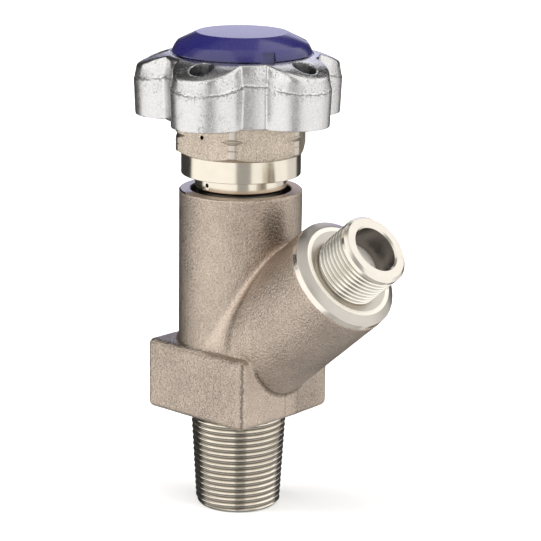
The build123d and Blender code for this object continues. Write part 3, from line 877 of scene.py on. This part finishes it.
def build_bonnet(settings, paints):
    """Hexagon, collar and shank, turned from one bar."""
    sizes = settings.bonnet
    top = bonnet_high.z
    foot = top - sizes.hexagon_height
    collar = foot - sizes.collar_height
    shank = collar - sizes.shank_height
    skirt_top = neck_top - sizes.skirt_depth
    rise = (sizes.turned_radius - sizes.collar_radius) * tan(radians(30))
    radius = sizes.turned_radius
    corner_at = foot + sizes.corner_groove
    line_at = foot + sizes.line_groove
    corner_half = sizes.corner_groove_width / 2
    line_half = sizes.line_groove_width / 2
    corner_reach = sizes.across_flats / 2 / cos(pi / 6)
    turns = [sizes.turn + k * pi / 3 for k in range(6)]
    corners = [(corner_reach * cos(turn), corner_reach * sin(turn)) for turn in turns]
    bonnet = prism("bonnet_hexagon", corners, foot - OVERRUN, top + OVERRUN)
    turning = turned_solid("hexagon_turning", [
        (0, foot),
        (sizes.collar_radius - 0.3 * MM, foot),
        (sizes.collar_radius, foot),
        (radius, foot + rise),
        (radius, line_at - line_half),
        (radius - sizes.line_groove_depth, line_at),
        (radius, line_at + line_half),
        (radius, corner_at - corner_half),
        (radius - sizes.corner_groove_depth, corner_at, 0.25 * MM),
        (radius, corner_at + corner_half),
        (radius, top - rise),
        (sizes.collar_radius, top),
        (0, top),
    ], segments=BONNET_ROUND)
    combine_solids(bonnet, turning, operation="INTERSECT")
    stem = turned_solid("bonnet_stem", [
        (0, bonnet_low.z),
        (sizes.skirt_radius, bonnet_low.z),
        (sizes.skirt_radius, skirt_top),
        (sizes.relief_radius, skirt_top),
        (sizes.relief_radius, shank),
        (sizes.shank_radius, shank, sizes.shank_round),
        (sizes.shank_radius, collar, 0.2 * MM),
        (sizes.collar_radius, collar, 0.3 * MM),
        (sizes.collar_radius, foot + 0.1 * MM),
        (0, foot + 0.1 * MM),
    ], segments=BONNET_ROUND)
    combine_solids(bonnet, stem, operation="UNION")
    bore = turned_solid("bonnet_bore", [
        (0, bonnet_low.z - OVERRUN),
        *stepped(
            bonnet_low.z - OVERRUN, (sizes.cavity_radius, top - sizes.cavity_depth),
            (sizes.gland_radius, top - sizes.wiper_depth), (sizes.wiper_radius, top + OVERRUN),
        ),
        (0, top + OVERRUN),
    ], segments=OUTLET_ROUND)
    combine_solids(bonnet, bore)
    for turn, height, reach in (
        (sizes.hexagon_vent_turn, foot + sizes.hexagon_vent_rise, radius),
        (sizes.shank_vent_turn, collar - sizes.shank_vent_drop, sizes.shank_radius),
    ):
        place = Matrix.Translation((0, 0, height)) @ Matrix.Rotation(turn, 4, "Z")
        place = place @ Matrix.Rotation(pi / 2, 4, "Y")
        start, end = reach - 4 * MM, reach + 2 * MM
        drill = [(0, start), *stepped(start, (sizes.vent_radius, end)), (0, end)]
        combine_solids(bonnet, turned_solid("drill", drill, segments=DRILL_ROUND, place=place))
    bonnet.data.materials.clear()
    for name in ("hexagon", "polished", "bore", "bar_corner"):
        bonnet.data.materials.append(paints[name])
    for face in bonnet.data.polygons:
        around = hypot(face.center.x, face.center.y)
        height = face.center.z
        inward = face.normal.x * face.center.x + face.normal.y * face.center.y < -MERGE
        # Faces inside the bores and inside the body get the dark bore finish, painted shade
        if around < sizes.relief_radius + MERGE or height < skirt_top + MERGE or inward:
            face.material_index = 2
        elif height < foot - EDGE:
            face.material_index = 1
        elif around > radius - 0.1 * MM or (abs(face.normal.z) > 0.1 and foot + rise < height < top - rise):
            face.material_index = 3
    soften(bonnet, 0.12 * MM)
    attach(bonnet, "housing")
    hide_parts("bonnet")


# Handwheel


def handwheel_tree():
    """The die casting's skin: lobes round a core, a domed crown, and a hollow underside with ribs."""
    tree = GeometryGroup(
        "Handwheel", "Bottom", "Crown height", "Crown edge", sizes=WheelSizes, whole=("Lobes",),
        paints=("Material", "Inner material"),
    )
    x, y, z = tree.place()
    around = hypotenuse(x, y)
    angle = y.direction(x) - tree["Lobe turn"]
    sector = 2 * pi / tree["Lobes"]

    def folded(offset):
        """The point turned into the sector around the nearest lobe, or valley."""
        turned = angle + offset
        local = turned - (turned / sector).nearest() * sector
        return around * local.cos(), around * local.sin()

    out, side = folded(0.0)
    rim = tree["Lobe circle"] + tree["Lobe radius"]
    lobe = hypotenuse(out - tree["Lobe circle"], side) - tree["Lobe radius"]
    plan = lobe.least(around - tree["Core radius"], tree["Valley blend"])
    plan = plan + (z - tree["Parting"]).abs() * tree["Draft"].tan()
    parting = tree["Parting"] + (rim - around) * tree["Parting rise"]
    parting = parting + (tree.noise(tree.combine(x, y, 0.0), PARTING_WAVES, 3.0) - 0.5) * PARTING_WOBBLE
    plan = plan + (z - parting).step(-0.2 * MM, 0.2 * MM) * tree["Parting step"]
    plan = plan + (z - parting).most(0.0).least(LEANING_HEIGHT) * tree["Rim lean"].tan()
    share = (around - tree["Crown edge"]) / (rim - tree["Crown edge"])
    sag = share * (1.0 - share) * 4.0 * tree["Crown sag"]
    drop = (share * (tree["Rim height"] - tree["Crown height"]) + sag) * share.above(0.0)
    crown = z - tree["Crown height"] - drop
    outer = plan.most(crown, tree["Rim round"]).most(tree["Bottom"] - z, tree["Foot round"])

    # Underside: hub and ribs stand in a hollow under the crown
    ceiling = (crown + tree["Web"]).most(z - tree["Recess floor"] + tree["Web"], CAST_BLEND)
    hollow = (plan + tree["Wall"]).most(ceiling, CAST_BLEND)
    hub = (around - tree["Hub radius"]).most(tree["Hub bottom"] - z)
    rib_out, rib_side = folded(sector / 2.0)
    rib_bottom = tree["Recess floor"] - tree["Web"] - tree["Rib depth"]
    rib = (rib_side.abs() - tree["Rib thickness"] / 2).most(rib_bottom - z, 0.5 * MM)
    hollow = hollow.most(-hub, CAST_BLEND).most(-rib, CAST_BLEND)

    # Holes, the recess under the cap and the square for the spindle
    hole = hypotenuse(out - tree["Hole circle"], side) - tree["Hole radius"]
    hole = hole.most(tree["Rim height"] - tree["Web"] * 2.0 - z)
    recess = (around - tree["Recess radius"]).most(tree["Recess floor"] - z)
    recess = recess.least((around - tree["Seat radius"]).most(tree["Crown height"] - tree["Seat depth"] - z))
    square = x.abs().most(y.abs()) - tree["Square"] / 2
    skin = outer.most(-hollow).most(-recess).most(-square).most(-hole, HOLE_LIP)
    # Faces of the hollow and of the holes' walls get the inner material, a dark colour that paints shade
    # there
    inner_shade = 1.0 - hollow.abs().least((hole + 0.2 * MM).abs()).above(INSIDE_REACH)
    reach = rim + 1.5 * MM
    low = (-reach, -reach, tree["Bottom"] - 1.5 * MM)
    high = (reach, reach, tree["Crown height"] + 1.5 * MM)
    casting = tree.paint(tree.skin(skin, low, high, tree["Voxel"]))
    tree.feed(tree.sink.inputs["Geometry"], tree.paint(casting, "Inner material", Selection=inner_shade))
    return tree.tree


def build_handwheel(settings, paints):
    """The five-lobed die casting."""
    wheel = grow(
        "handwheel_casting", handwheel_tree(), paints["cast"], inner_material=paints["cast_inside"],
        bottom=wheel_low.z, crown_height=wheel_high.z, crown_edge=settings.cap.foot_radius,
        **sizes_in(settings.wheel),
    )
    soften(wheel, angle=50)
    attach(wheel, "wheel_set")
    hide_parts("handwheel")


# Cap


def build_cap(settings, paints):
    """The snap-in cap, with its notch for a blade."""
    sizes = settings.cap
    top = cap_high.z
    foot = top - sizes.height
    break_at = foot + sizes.break_height
    inner_top = top - sizes.wall
    skirt_foot = Vector((sizes.foot_radius, foot + sizes.gap))
    skirt = bulge(skirt_foot, Vector((sizes.break_radius, break_at)), sizes.skirt_arc)
    cap = turned_solid("cap_moulding", [
        (0, inner_top),
        (sizes.top_radius - 1 * MM, inner_top),
        (sizes.lip_radius - 1.2 * MM, foot),
        (sizes.lip_radius - 1.2 * MM, cap_low.z, 0.2 * MM),
        (sizes.lip_radius, cap_low.z, 0.4 * MM),
        (sizes.lip_radius, foot + sizes.gap),
        *skirt,
        (sizes.top_radius, top, 0.3 * MM),
        (0, top),
    ], paints["cap"], segments=BONNET_ROUND, steps=5)
    half = sizes.notch_width / 2
    floor = sizes.foot_radius - sizes.notch_depth
    place = Matrix.Rotation(sizes.notch_turn, 4, "Z")
    plan = [(floor, -half), (floor + 9 * MM, -half), (floor + 9 * MM, half), (floor, half)]
    combine_solids(cap, prism("notch", plan, foot - 0.1 * MM, foot + sizes.notch_height, place))
    soften(cap, 0.06 * MM)
    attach(cap, "wheel_set")
    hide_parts("wheel_cap")


# Finishes


def grain_group():
    """Pits and mottling of a shot-blasted or cast skin."""
    group = Group(
        "Grain", "ShaderNodeTree", [("Place", "Vector"), ("Grains", "Float"), ("Mottling", "Float")],
        [("Height", "Float"), ("Tone", "Float")],
    )
    place = group.source.outputs["Place"]
    fine = group.noise(place, group["Grains"], 2.0, 0.6).step(0.3, 0.7)
    pebbles = group.noise(place, group["Grains"] * 0.45, 2.0, 0.5).step(0.3, 0.7)
    broad = group.noise(place, group["Mottling"], 4.0, 0.6).step(0.25, 0.75)
    group.feed(group.sink.inputs["Height"], fine * 0.3 + pebbles * 0.7)
    group.feed(group.sink.inputs["Tone"], broad * 0.2 + pebbles * 0.2 + fine * 0.6)
    return group.tree


def turning_group():
    """Fine rings that a lathe tool leaves, around the Z of the given place."""
    group = Group(
        "Turning marks", "ShaderNodeTree", [("Place", "Vector"), ("Rings", "Float")],
        [("Height", "Float"), ("Tone", "Float")],
    )
    x, y, z = group.separate(group.source.outputs["Place"])
    path = group.combine(0.0, 0.0, hypotenuse(x, y) + z)
    rings = group.noise(path, group["Rings"], 3.0, 0.7)
    smear = group.noise(group.source.outputs["Place"], group["Rings"] * 0.08, 3.0, 0.6)
    group.feed(group.sink.inputs["Height"], rings)
    group.feed(group.sink.inputs["Tone"], rings * 0.5 + smear * 0.5)
    return group.tree


class Finish(Nodes):
    """A material under construction, with its main shader ready."""

    def __init__(self, name, colour, metallic=1.0, roughness=0.3, **plain):
        self.material = bpy.data.materials.new(name)
        self.material.use_nodes = True
        super().__init__(self.material.node_tree)
        self.shader = self.tree.nodes["Principled BSDF"]
        self.colour = colour
        self.roughness = roughness
        self.set(Base_Color=(*colour, 1.0), Metallic=metallic, Roughness=roughness, **plain)
        self.place = self.node("ShaderNodeTexCoord").outputs["Object"]

    def set(self, **inputs):
        for key, value in inputs.items():
            self.feed(self.shader.inputs[key.replace("_", " ")], value)

    def turned_place(self, turn):
        """The place in the frame of an axis."""
        mapping = self.node("ShaderNodeMapping", {"vector_type": "TEXTURE"}, Vector=self.place)
        mapping.inputs["Rotation"].default_value = turn.to_euler()
        mapping.inputs["Location"].default_value = turn.to_translation()
        return mapping.outputs[0]

    def mixed(self, share, low, high):
        """A colour between two multiples of the base colour."""
        dark, light = [[min(part * factor, 1.0) for part in self.colour] + [1.0] for factor in (low, high)]
        return self.node("ShaderNodeMix", {"data_type": "RGBA"}, in0=share, in6=dark, in7=light).outputs[2]

    def marks(self, group, place, **inputs):
        """Tone and height of a group's marks."""
        node = self.node("ShaderNodeGroup", {"node_tree": group}, Place=place, **inputs)
        return self.field(node.outputs["Tone"]), self.field(node.outputs["Height"])

    def shade(self, tone, low, high, spread):
        """Colour and roughness that follow a tone from 0 to 1."""
        roughness = tone * spread + (self.roughness - spread / 2)
        self.set(Base_Color=self.mixed(tone, low, high), Roughness=roughness)

    def bump(self, height, distance):
        node = self.node("ShaderNodeBump", Height=height, Distance=distance, Strength=1.0)
        self.set(Normal=node.outputs[0])


def blasted_finish(name, colour, grain, grains, depth, roughness):
    """Shot-blasted steel."""
    finish = Finish(name, colour, roughness=roughness)
    tone, height = finish.marks(grain, finish.place, Grains=grains, Mottling=90.0)
    finish.shade(tone, 0.45, 1.55, 0.2)
    finish.bump(height, depth)
    return finish.material


def turned_finish(name, colour, turning, turn, rings, depth, roughness, metallic=1.0):
    """Bright turned metal."""
    finish = Finish(name, colour, roughness=roughness, metallic=metallic)
    tone, height = finish.marks(turning, finish.turned_place(turn), Rings=rings)
    finish.shade(tone, 0.85, 1.1, 0.12)
    finish.bump(height, depth)
    return finish.material


def moulded_finish(name, colour, grain, roughness, gloss=0.0):
    """Moulded plastic or rubber with a faint texture."""
    finish = Finish(name, colour, metallic=0.0, roughness=roughness, Coat_Weight=gloss, Coat_Roughness=0.1)
    tone, height = finish.marks(grain, finish.place, Grains=2600.0, Mottling=150.0)
    finish.shade(tone, 0.85, 1.15, 0.2)
    finish.bump(height, 0.008 * MM)
    return finish.material


def forged_finish(name, colour, grain, sizes):
    """Shot-blasted forging, with the ragged flash line on the block's corners and rough upper edges."""
    finish = Finish(name, colour, roughness=0.35)
    tone, height = finish.marks(grain, finish.place, Grains=3300.0, Mottling=90.0)
    x, y, z = finish.separate(finish.place)
    half = sizes.block_side / 2
    over_block = z - sizes.block_top
    ragged = finish.noise(finish.place, 900.0, 3.0, 0.7) - 0.5
    inset = sizes.block_round * 0.3
    corner = hypotenuse(x.abs() - half + inset, y.abs() - half + inset) + ragged * (1.2 * MM)
    flash = corner.fall(0.25 * MM, 0.75 * MM)
    edge = ((over_block + 0.5 * MM).abs() + ragged * (2.2 * MM)).fall(0.2 * MM, 0.7 * MM)
    edge = edge * (-x).most(y.abs()).step(half - 1.6 * MM, half - 1.0 * MM) * x.fall(0.0, 8 * MM)

    # A painted highlight brightens the crest of the fillet between neck and branch, and a painted shade line
    # runs along the branch a little way out from the neck
    lean = sizes.branch_angle
    rise = z - sizes.crossing
    off_branch = (hypotenuse(rise * cos(lean) - x * sin(lean), y) - sizes.branch_radius).abs()
    off_neck = (hypotenuse(x, y) - sizes.neck_radius).abs()
    crest = (off_branch + off_neck + ragged * (0.5 * MM)).fall(0.9 * MM, 1.9 * MM)
    # Painted shade line on the branch beside the fillet's crest
    groove = (off_branch + (off_neck - 2.6 * MM).abs() + ragged * (0.5 * MM)).fall(0.2 * MM, 1.2 * MM)
    crease_highlight_and_shade = (crest - groove) * over_block.step(0.0, 3 * MM)

    # Painted shade darkens the block's upper face and its face under the branch, and the trimmed land's edges
    # are darker lines
    upper = over_block.step(-0.5 * MM, -0.1 * MM) * over_block.fall(0.4 * MM, 0.9 * MM)
    upper = upper * off_neck.step(0.8 * MM, 2.5 * MM) * x.fall(-8 * MM, 0.0)
    under = (off_branch + (x - half).abs() + ragged * (0.6 * MM)).fall(0.2 * MM, 0.9 * MM)
    under = under * over_block.fall(-5 * MM, -3 * MM)
    from_land = ((y - sizes.land_offset).abs() - sizes.land_width / 2).abs() + ragged * (0.3 * MM)
    on_face = x.step(half - 1 * MM, half - 0.5 * MM) * x.fall(half + 0.2 * MM, half + 0.6 * MM)
    land = from_land.fall(0.05 * MM, 0.25 * MM) * on_face
    # Painted light and shade: the block's side face is lighter towards -y and darker towards +y of the land
    side_light_and_shade = on_face * (0.1 - y.step(0.0, 6 * MM) * 0.27)

    # Painted shade darkens the neck just above the branch, and the top of the mouth's rim is painted brighter
    painted_shade_above_branch = off_neck.fall(0.3 * MM, 1.5 * MM) * (y + 4.4 * MM).abs().fall(1 * MM, 5 * MM)
    painted_shade_above_branch = painted_shade_above_branch * x.step(0.0, 5 * MM) * (z - (neck_top - 8 * MM)).abs().fall(1.5 * MM, 8 * MM)
    rim = z.step(neck_top - 0.9 * MM, neck_top - 0.5 * MM)
    tone = tone - flash * 0.7 + edge * 0.3 + crease_highlight_and_shade * 0.35 - upper * 0.6 - under * 0.5 - land * 0.25
    finish.shade(tone + side_light_and_shade - painted_shade_above_branch * 0.5 + rim * 0.35, 0.5, 1.5, 0.2)
    finish.bump(height + flash * 1.5 + edge - under - land, 0.14 * MM)
    return finish.material


def cast_finish(name, colour, grain, sizes, roughness):
    """Tumbled die casting, worn bright, with a ragged flash line round its rim."""
    finish = Finish(name, colour, roughness=roughness)
    tone, height = finish.marks(grain, finish.place, Grains=2600.0, Mottling=160.0)
    x, y, z = finish.separate(finish.place)
    inwards = sizes.lobe_circle + sizes.lobe_radius - hypotenuse(x, y)
    ragged = finish.noise(finish.place, 600.0, 4.0, 0.7) - 0.5
    above = z - sizes.parting - inwards * sizes.parting_rise + ragged * (2.0 * MM)
    breaks = finish.noise(finish.place, 220.0, 2.0).step(0.33, 0.47)
    burr = above.abs().fall(0.15 * MM, 0.65 * MM) * breaks
    specks = finish.noise(finish.place, 1500.0, 2.0, 0.7).step(0.53, 0.64)
    beside = 1.0 - (above + ragged * (2.0 * MM)).abs().step(0.8 * MM, 2.2 * MM)
    worn = finish.noise(finish.place, 140.0, 2.0).step(0.48, 0.62).most(beside)
    dents = specks * worn
    # The burr is painted brighter above the parting line as a painted highlight and darker below it as its
    # painted shadow
    burr_highlight_and_shadow = burr * (above.step(-0.1 * MM, 0.15 * MM) - 0.75)
    finish.set(Base_Color=finish.mixed(tone * 0.35 + 0.45 + burr_highlight_and_shadow * 1.2 - dents * 0.45, 0.45, 1.35))
    crown = above.step(2.4 * MM, 3.4 * MM)
    finish.set(Roughness=tone * 0.15 + roughness - crown * 0.14)
    finish.bump(height + burr * 3.0 - dents * 2.0, 0.02 * MM)
    return finish.material


def thread_finish(name, colour, turning, turn, depth, crest, taper, dark):
    """Bright crests above roots that are darkened with painted shade."""
    finish = Finish(name, colour, roughness=0.16)
    place = finish.turned_place(turn)
    x, y, z = finish.separate(place)
    tone, height = finish.marks(turning, place, Rings=4000.0)
    # Painted shade darkens the thread towards its roots
    below = (crest + z * taper - hypotenuse(x, y)) / depth
    clear_of_root_shade = (below + (tone - 0.5) * 0.4).fall(0.1, 0.7)
    finish.set(Base_Color=finish.mixed(clear_of_root_shade, dark, 1.15), Roughness=0.26 - clear_of_root_shade * 0.14)
    finish.bump(height, 0.01 * MM)
    return finish.material


def make_paints(settings):
    """Every finish by name."""
    colours, turned = settings.colours, settings.turned
    grain, turning = grain_group(), turning_group()
    upright, outlet = Matrix.Identity(4), branch_place(settings.forging)
    inlet_foot = turned.inlet_radius - turned.inlet_taper * turned.inlet_length
    paints = {
        "blasted": forged_finish("Blasted steel", colours.blasted, grain, settings.forging),
        "hexagon": blasted_finish("Blasted bar", colours.bar, grain, 2800.0, 0.05 * MM, 0.42),
        "cast": cast_finish("Die cast", colours.cast, grain, settings.wheel, 0.24),
        # The casting's inside is a dark finish that paints shade into its hollow
        "cast_inside": blasted_finish("Die cast inside", colours.inside, grain, 900.0, 0.03 * MM, 0.5),
        # The last number of each thread finish is how dark the painted shade in its roots is
        "thread": thread_finish(
            "Threaded inlet", colours.thread, turning, upright, turned.inlet_depth, inlet_foot,
            turned.inlet_taper, 0.5,
        ),
        "outlet_thread": thread_finish(
            "Threaded outlet", colours.turned, turning, outlet, turned.outlet_depth, turned.outlet_radius,
            0.0, 0.62,
        ),
        "cap": moulded_finish("Cap plastic", colours.cap, grain, 0.25, 0.7),
        "rubber": moulded_finish("Rubber", colours.rubber, grain, 0.55),
        "disc": moulded_finish("Disc plastic", colours.disc, grain, 0.4),
    }
    # Turned metal: name, colour, axis, rings in a metre, their depth in millimetres, roughness, metal share
    for key, name, colour, axis, rings, depth, *shine in (
        ("bar_corner", "Bar corner", colours.corner, upright, 2500.0, 0.02, 0.34),
        # Bore and socket walls are dark with painted shade
        ("bore", "Bored steel", colours.bored, upright, 3000.0, 0.01, 0.3),
        ("socket", "Socket wall", colours.socket, outlet, 1500.0, 0.02, 0.34),
        ("faced", "Socket floor", colours.turned, outlet, 2500.0, 0.02, 0.6, 0.1),
        ("shoulder", "Sealing face", colours.turned, outlet, 2500.0, 0.02, 0.5, 0.5),
        ("polished", "Polished steel", colours.polished, upright, 3000.0, 0.004, 0.16),
        ("turned_upright", "Turned inlet", colours.turned, upright, 4000.0, 0.01, 0.3),
        ("turned_outlet", "Turned outlet", colours.turned, outlet, 4000.0, 0.01, 0.2),
        ("bevel", "Bevel", colours.bevel, outlet, 4000.0, 0.01, 0.3),
        ("brass", "Brass", colours.brass, upright, 4000.0, 0.01, 0.3),
        ("spring", "Spring steel", colours.turned, upright, 5000.0, 0.005, 0.3),
    ):
        paints[key] = turned_finish(name, colour, turning, axis, rings, depth * MM, *shine)
    return paints


def build_inner_parts(settings, paints):
    """Paints the pieces that keep their CAD shape."""
    finishes = {
        "turned_upright": (
            "spindle", "seat_retainer", "plunger", "thrust_button", "clamp_ring", "thrust_ball",
        ),
        "spring": ("diaphragm_1", "diaphragm_2", "diaphragm_3", "return_spring", "retaining_clip"),
        "polished": ("wheel_screw", "wheel_washer"),
        "brass": ("spindle_bush",),
        "rubber": ("spindle_o_ring", "wiper_seal"),
        "disc": ("seat_disc",),
    }
    for name, nodes in finishes.items():
        for node in nodes:
            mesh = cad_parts[node].data
            mesh.materials.clear()
            mesh.materials.append(paints[name])


# Stage


def soft_light(name, size, energy, place, target):
    """A square lamp that faces its target and stays out of reflections."""
    lamp = bpy.data.lights.new(name, "AREA")
    lamp.size = size
    lamp.energy = energy
    holder = bpy.data.objects.new(name, lamp)
    holder.location = place
    holder.rotation_euler = (Vector(target) - Vector(place)).to_track_quat("-Z", "Y").to_euler()
    holder.visible_glossy = False
    bpy.context.scene.collection.objects.link(holder)


def build_world():
    """A pale room with darker corners, which polished metal shows."""
    world = bpy.data.worlds.new("Studio")
    bpy.context.scene.world = world
    world.use_nodes = True
    nodes = Nodes(world.node_tree)
    direction = nodes.node("ShaderNodeTexCoord").outputs["Generated"]
    x, y, z = nodes.separate(direction)
    azimuth = y.direction(x)
    towards_camera = atan2(CAMERA_AT[1], CAMERA_AT[0])

    # The panels stand on both sides of a slot that runs from the front over the top
    slot = towards_camera + radians(5.5)
    forward = x * cos(slot) + y * sin(slot)
    right = y * cos(slot) - x * sin(slot)

    def sector(low, high, soft=3.0):
        """1 inside a sector of the horizon, in degrees to the right of the camera."""
        away = azimuth - towards_camera - radians((low + high) / 2)
        away = (away - (away / (2 * pi)).nearest() * (2 * pi)).abs()
        half = (high - low) / 2
        return away.fall(radians(half - soft), radians(half + soft))

    def belt(low, high, soft=6.0):
        """1 between two elevations in degrees."""
        floor, ceiling = [(sin(radians(end - soft)), sin(radians(end + soft))) for end in (low, high)]
        return z.step(*floor) * z.fall(*ceiling)

    left = right.fall(-0.05, 0.05)
    back_edge = z.step(0.1, 0.5) * 0.12 - 0.68 + left * 0.18
    panels = right.abs().step(0.19, 0.26) * forward.step(back_edge, back_edge + 0.1)
    panels = panels * z.step(-0.9, -0.8) * 1.05
    back_left = left * forward.fall(-0.2, 0.05) * z.step(0.05, 0.25)
    back_right = (1.0 - left) * forward.fall(-0.25, 0.0) * z.fall(0.2, 0.4)
    panels = panels * (1.0 - back_left * 0.8 - back_right * 0.3) * (left * 0.08 + 1.0)
    gap = forward.step(-0.3, 0.1) * (z.step(0.55, 0.8) * 0.35 + 0.36)
    behind = sector(163, 188, 4.0) * belt(0, 48) * (z.step(0.2, 0.4) * 0.25 + 0.7)
    blue = behind * belt(-10, 22)
    below = z.fall(-1.0, -0.6) * 0.5
    overhead = z.step(0.78, 0.92) * 0.25
    brightness = panels.most(gap).most(behind).most(overhead).most(below) + 0.05
    background = world.node_tree.nodes["Background"]
    red = brightness - behind * 0.04
    green = brightness * 0.985 - behind * 0.03
    violet = brightness * 0.96 + behind * 0.04 + blue * 0.27
    nodes.feed(background.inputs["Color"], nodes.combine(red, green, violet))
    background.inputs["Strength"].default_value = 1.0


def build_stage(settings):
    """Floor, lights and camera."""
    shell = bmesh.new()
    bmesh.ops.create_grid(shell, x_segments=2, y_segments=2, size=FLOOR_REACH)
    floor = solid("studio_floor", shell)
    paint = Finish("Studio floor", settings.colours.floor, metallic=0.0, roughness=0.9)
    dust = paint.noise(paint.place, 30.0)
    paint.set(Base_Color=paint.mixed(dust, 0.98, 1.02))
    floor.data.materials.append(paint.material)
    floor.visible_glossy = False
    build_world()
    target = Vector(CAMERA_TO)
    for lamp in LAMPS:
        soft_light(*lamp, target)

    lens = bpy.data.cameras.new("camera")
    lens.lens = LENS
    lens.sensor_width = lens.sensor_height = SENSOR
    lens.clip_start = 0.01
    camera = bpy.data.objects.new("camera", lens)
    bpy.context.scene.collection.objects.link(camera)
    ahead = target - Vector(CAMERA_AT)
    turn = ahead.to_track_quat("-Z", "Y").to_matrix().to_4x4()
    camera.matrix_world = Matrix.Translation(CAMERA_AT) @ turn @ Matrix.Rotation(CAMERA_ROLL, 4, "Z")
    bpy.context.scene.camera = camera
    bpy.context.scene.view_settings.view_transform = "Standard"


# Add-on


def settings_of(context):
    return context.scene.drum_valve


class DRUMVALVE_OT_body(bpy.types.Operator):
    """Builds the forged body with its turned and threaded ends"""

    bl_idname = "drum_valve.body"
    bl_label = "Valve body"

    def execute(self, context):
        build_body(settings_of(context), paints_of(context))
        return {"FINISHED"}


class DRUMVALVE_OT_bonnet(bpy.types.Operator):
    """Builds the bonnet with its hexagon, collar and shank"""

    bl_idname = "drum_valve.bonnet"
    bl_label = "Bonnet"

    def execute(self, context):
        build_bonnet(settings_of(context), paints_of(context))
        return {"FINISHED"}


class DRUMVALVE_OT_handwheel(bpy.types.Operator):
    """Builds the five-lobed handwheel"""

    bl_idname = "drum_valve.handwheel"
    bl_label = "Handwheel"

    def execute(self, context):
        build_handwheel(settings_of(context), paints_of(context))
        return {"FINISHED"}


class DRUMVALVE_OT_cap(bpy.types.Operator):
    """Builds the handwheel's snap-in cap"""

    bl_idname = "drum_valve.cap"
    bl_label = "Cap"

    def execute(self, context):
        build_cap(settings_of(context), paints_of(context))
        return {"FINISHED"}


class DRUMVALVE_OT_inner_parts(bpy.types.Operator):
    """Paints the inner pieces, which keep their CAD shape"""

    bl_idname = "drum_valve.inner_parts"
    bl_label = "Inner parts"

    def execute(self, context):
        build_inner_parts(settings_of(context), paints_of(context))
        return {"FINISHED"}


class DRUMVALVE_OT_stage(bpy.types.Operator):
    """Builds the floor, the lights and the camera"""

    bl_idname = "drum_valve.stage"
    bl_label = "Stage"

    def execute(self, context):
        build_stage(settings_of(context))
        return {"FINISHED"}


OPERATORS = (
    DRUMVALVE_OT_body, DRUMVALVE_OT_bonnet, DRUMVALVE_OT_handwheel, DRUMVALVE_OT_cap,
    DRUMVALVE_OT_inner_parts, DRUMVALVE_OT_stage,
)


class DRUMVALVE_PT_panel(bpy.types.Panel):
    """Lists the operators and their sizes"""

    bl_idname = "DRUMVALVE_PT_panel"
    bl_label = "Drum valve"
    bl_space_type = "VIEW_3D"
    bl_region_type = "UI"
    bl_category = "Drum valve"

    def draw(self, context):
        for operator in OPERATORS:
            self.layout.operator(operator.bl_idname)
        settings = settings_of(context)
        for group in ("forging", "turned", "bonnet", "wheel", "cap", "colours"):
            box = self.layout.box()
            box.label(text=group.capitalize())
            sizes = getattr(settings, group)
            for name in sizes.__annotations__:
                box.prop(sizes, name)


CLASSES = (
    ForgingSizes, TurnedSizes, BonnetSizes, WheelSizes, CapSizes, FinishColours, DrumValve, *OPERATORS,
    DRUMVALVE_PT_panel,
)


def paints_of(context):
    """The finishes, made once."""
    if not PAINTS:
        PAINTS.update(make_paints(settings_of(context)))
    return PAINTS


PAINTS = {}


def register():
    for cls in CLASSES:
        bpy.utils.register_class(cls)
    bpy.types.Scene.drum_valve = PointerProperty(type=DrumValve)


def unregister():
    del bpy.types.Scene.drum_valve
    for cls in reversed(CLASSES):
        bpy.utils.unregister_class(cls)


def main():
    register()
    bpy.ops.drum_valve.body()
    bpy.ops.drum_valve.bonnet()
    bpy.ops.drum_valve.handwheel()
    bpy.ops.drum_valve.cap()
    bpy.ops.drum_valve.inner_parts()
    bpy.ops.drum_valve.stage()


if __name__ == "__main__":
    main()
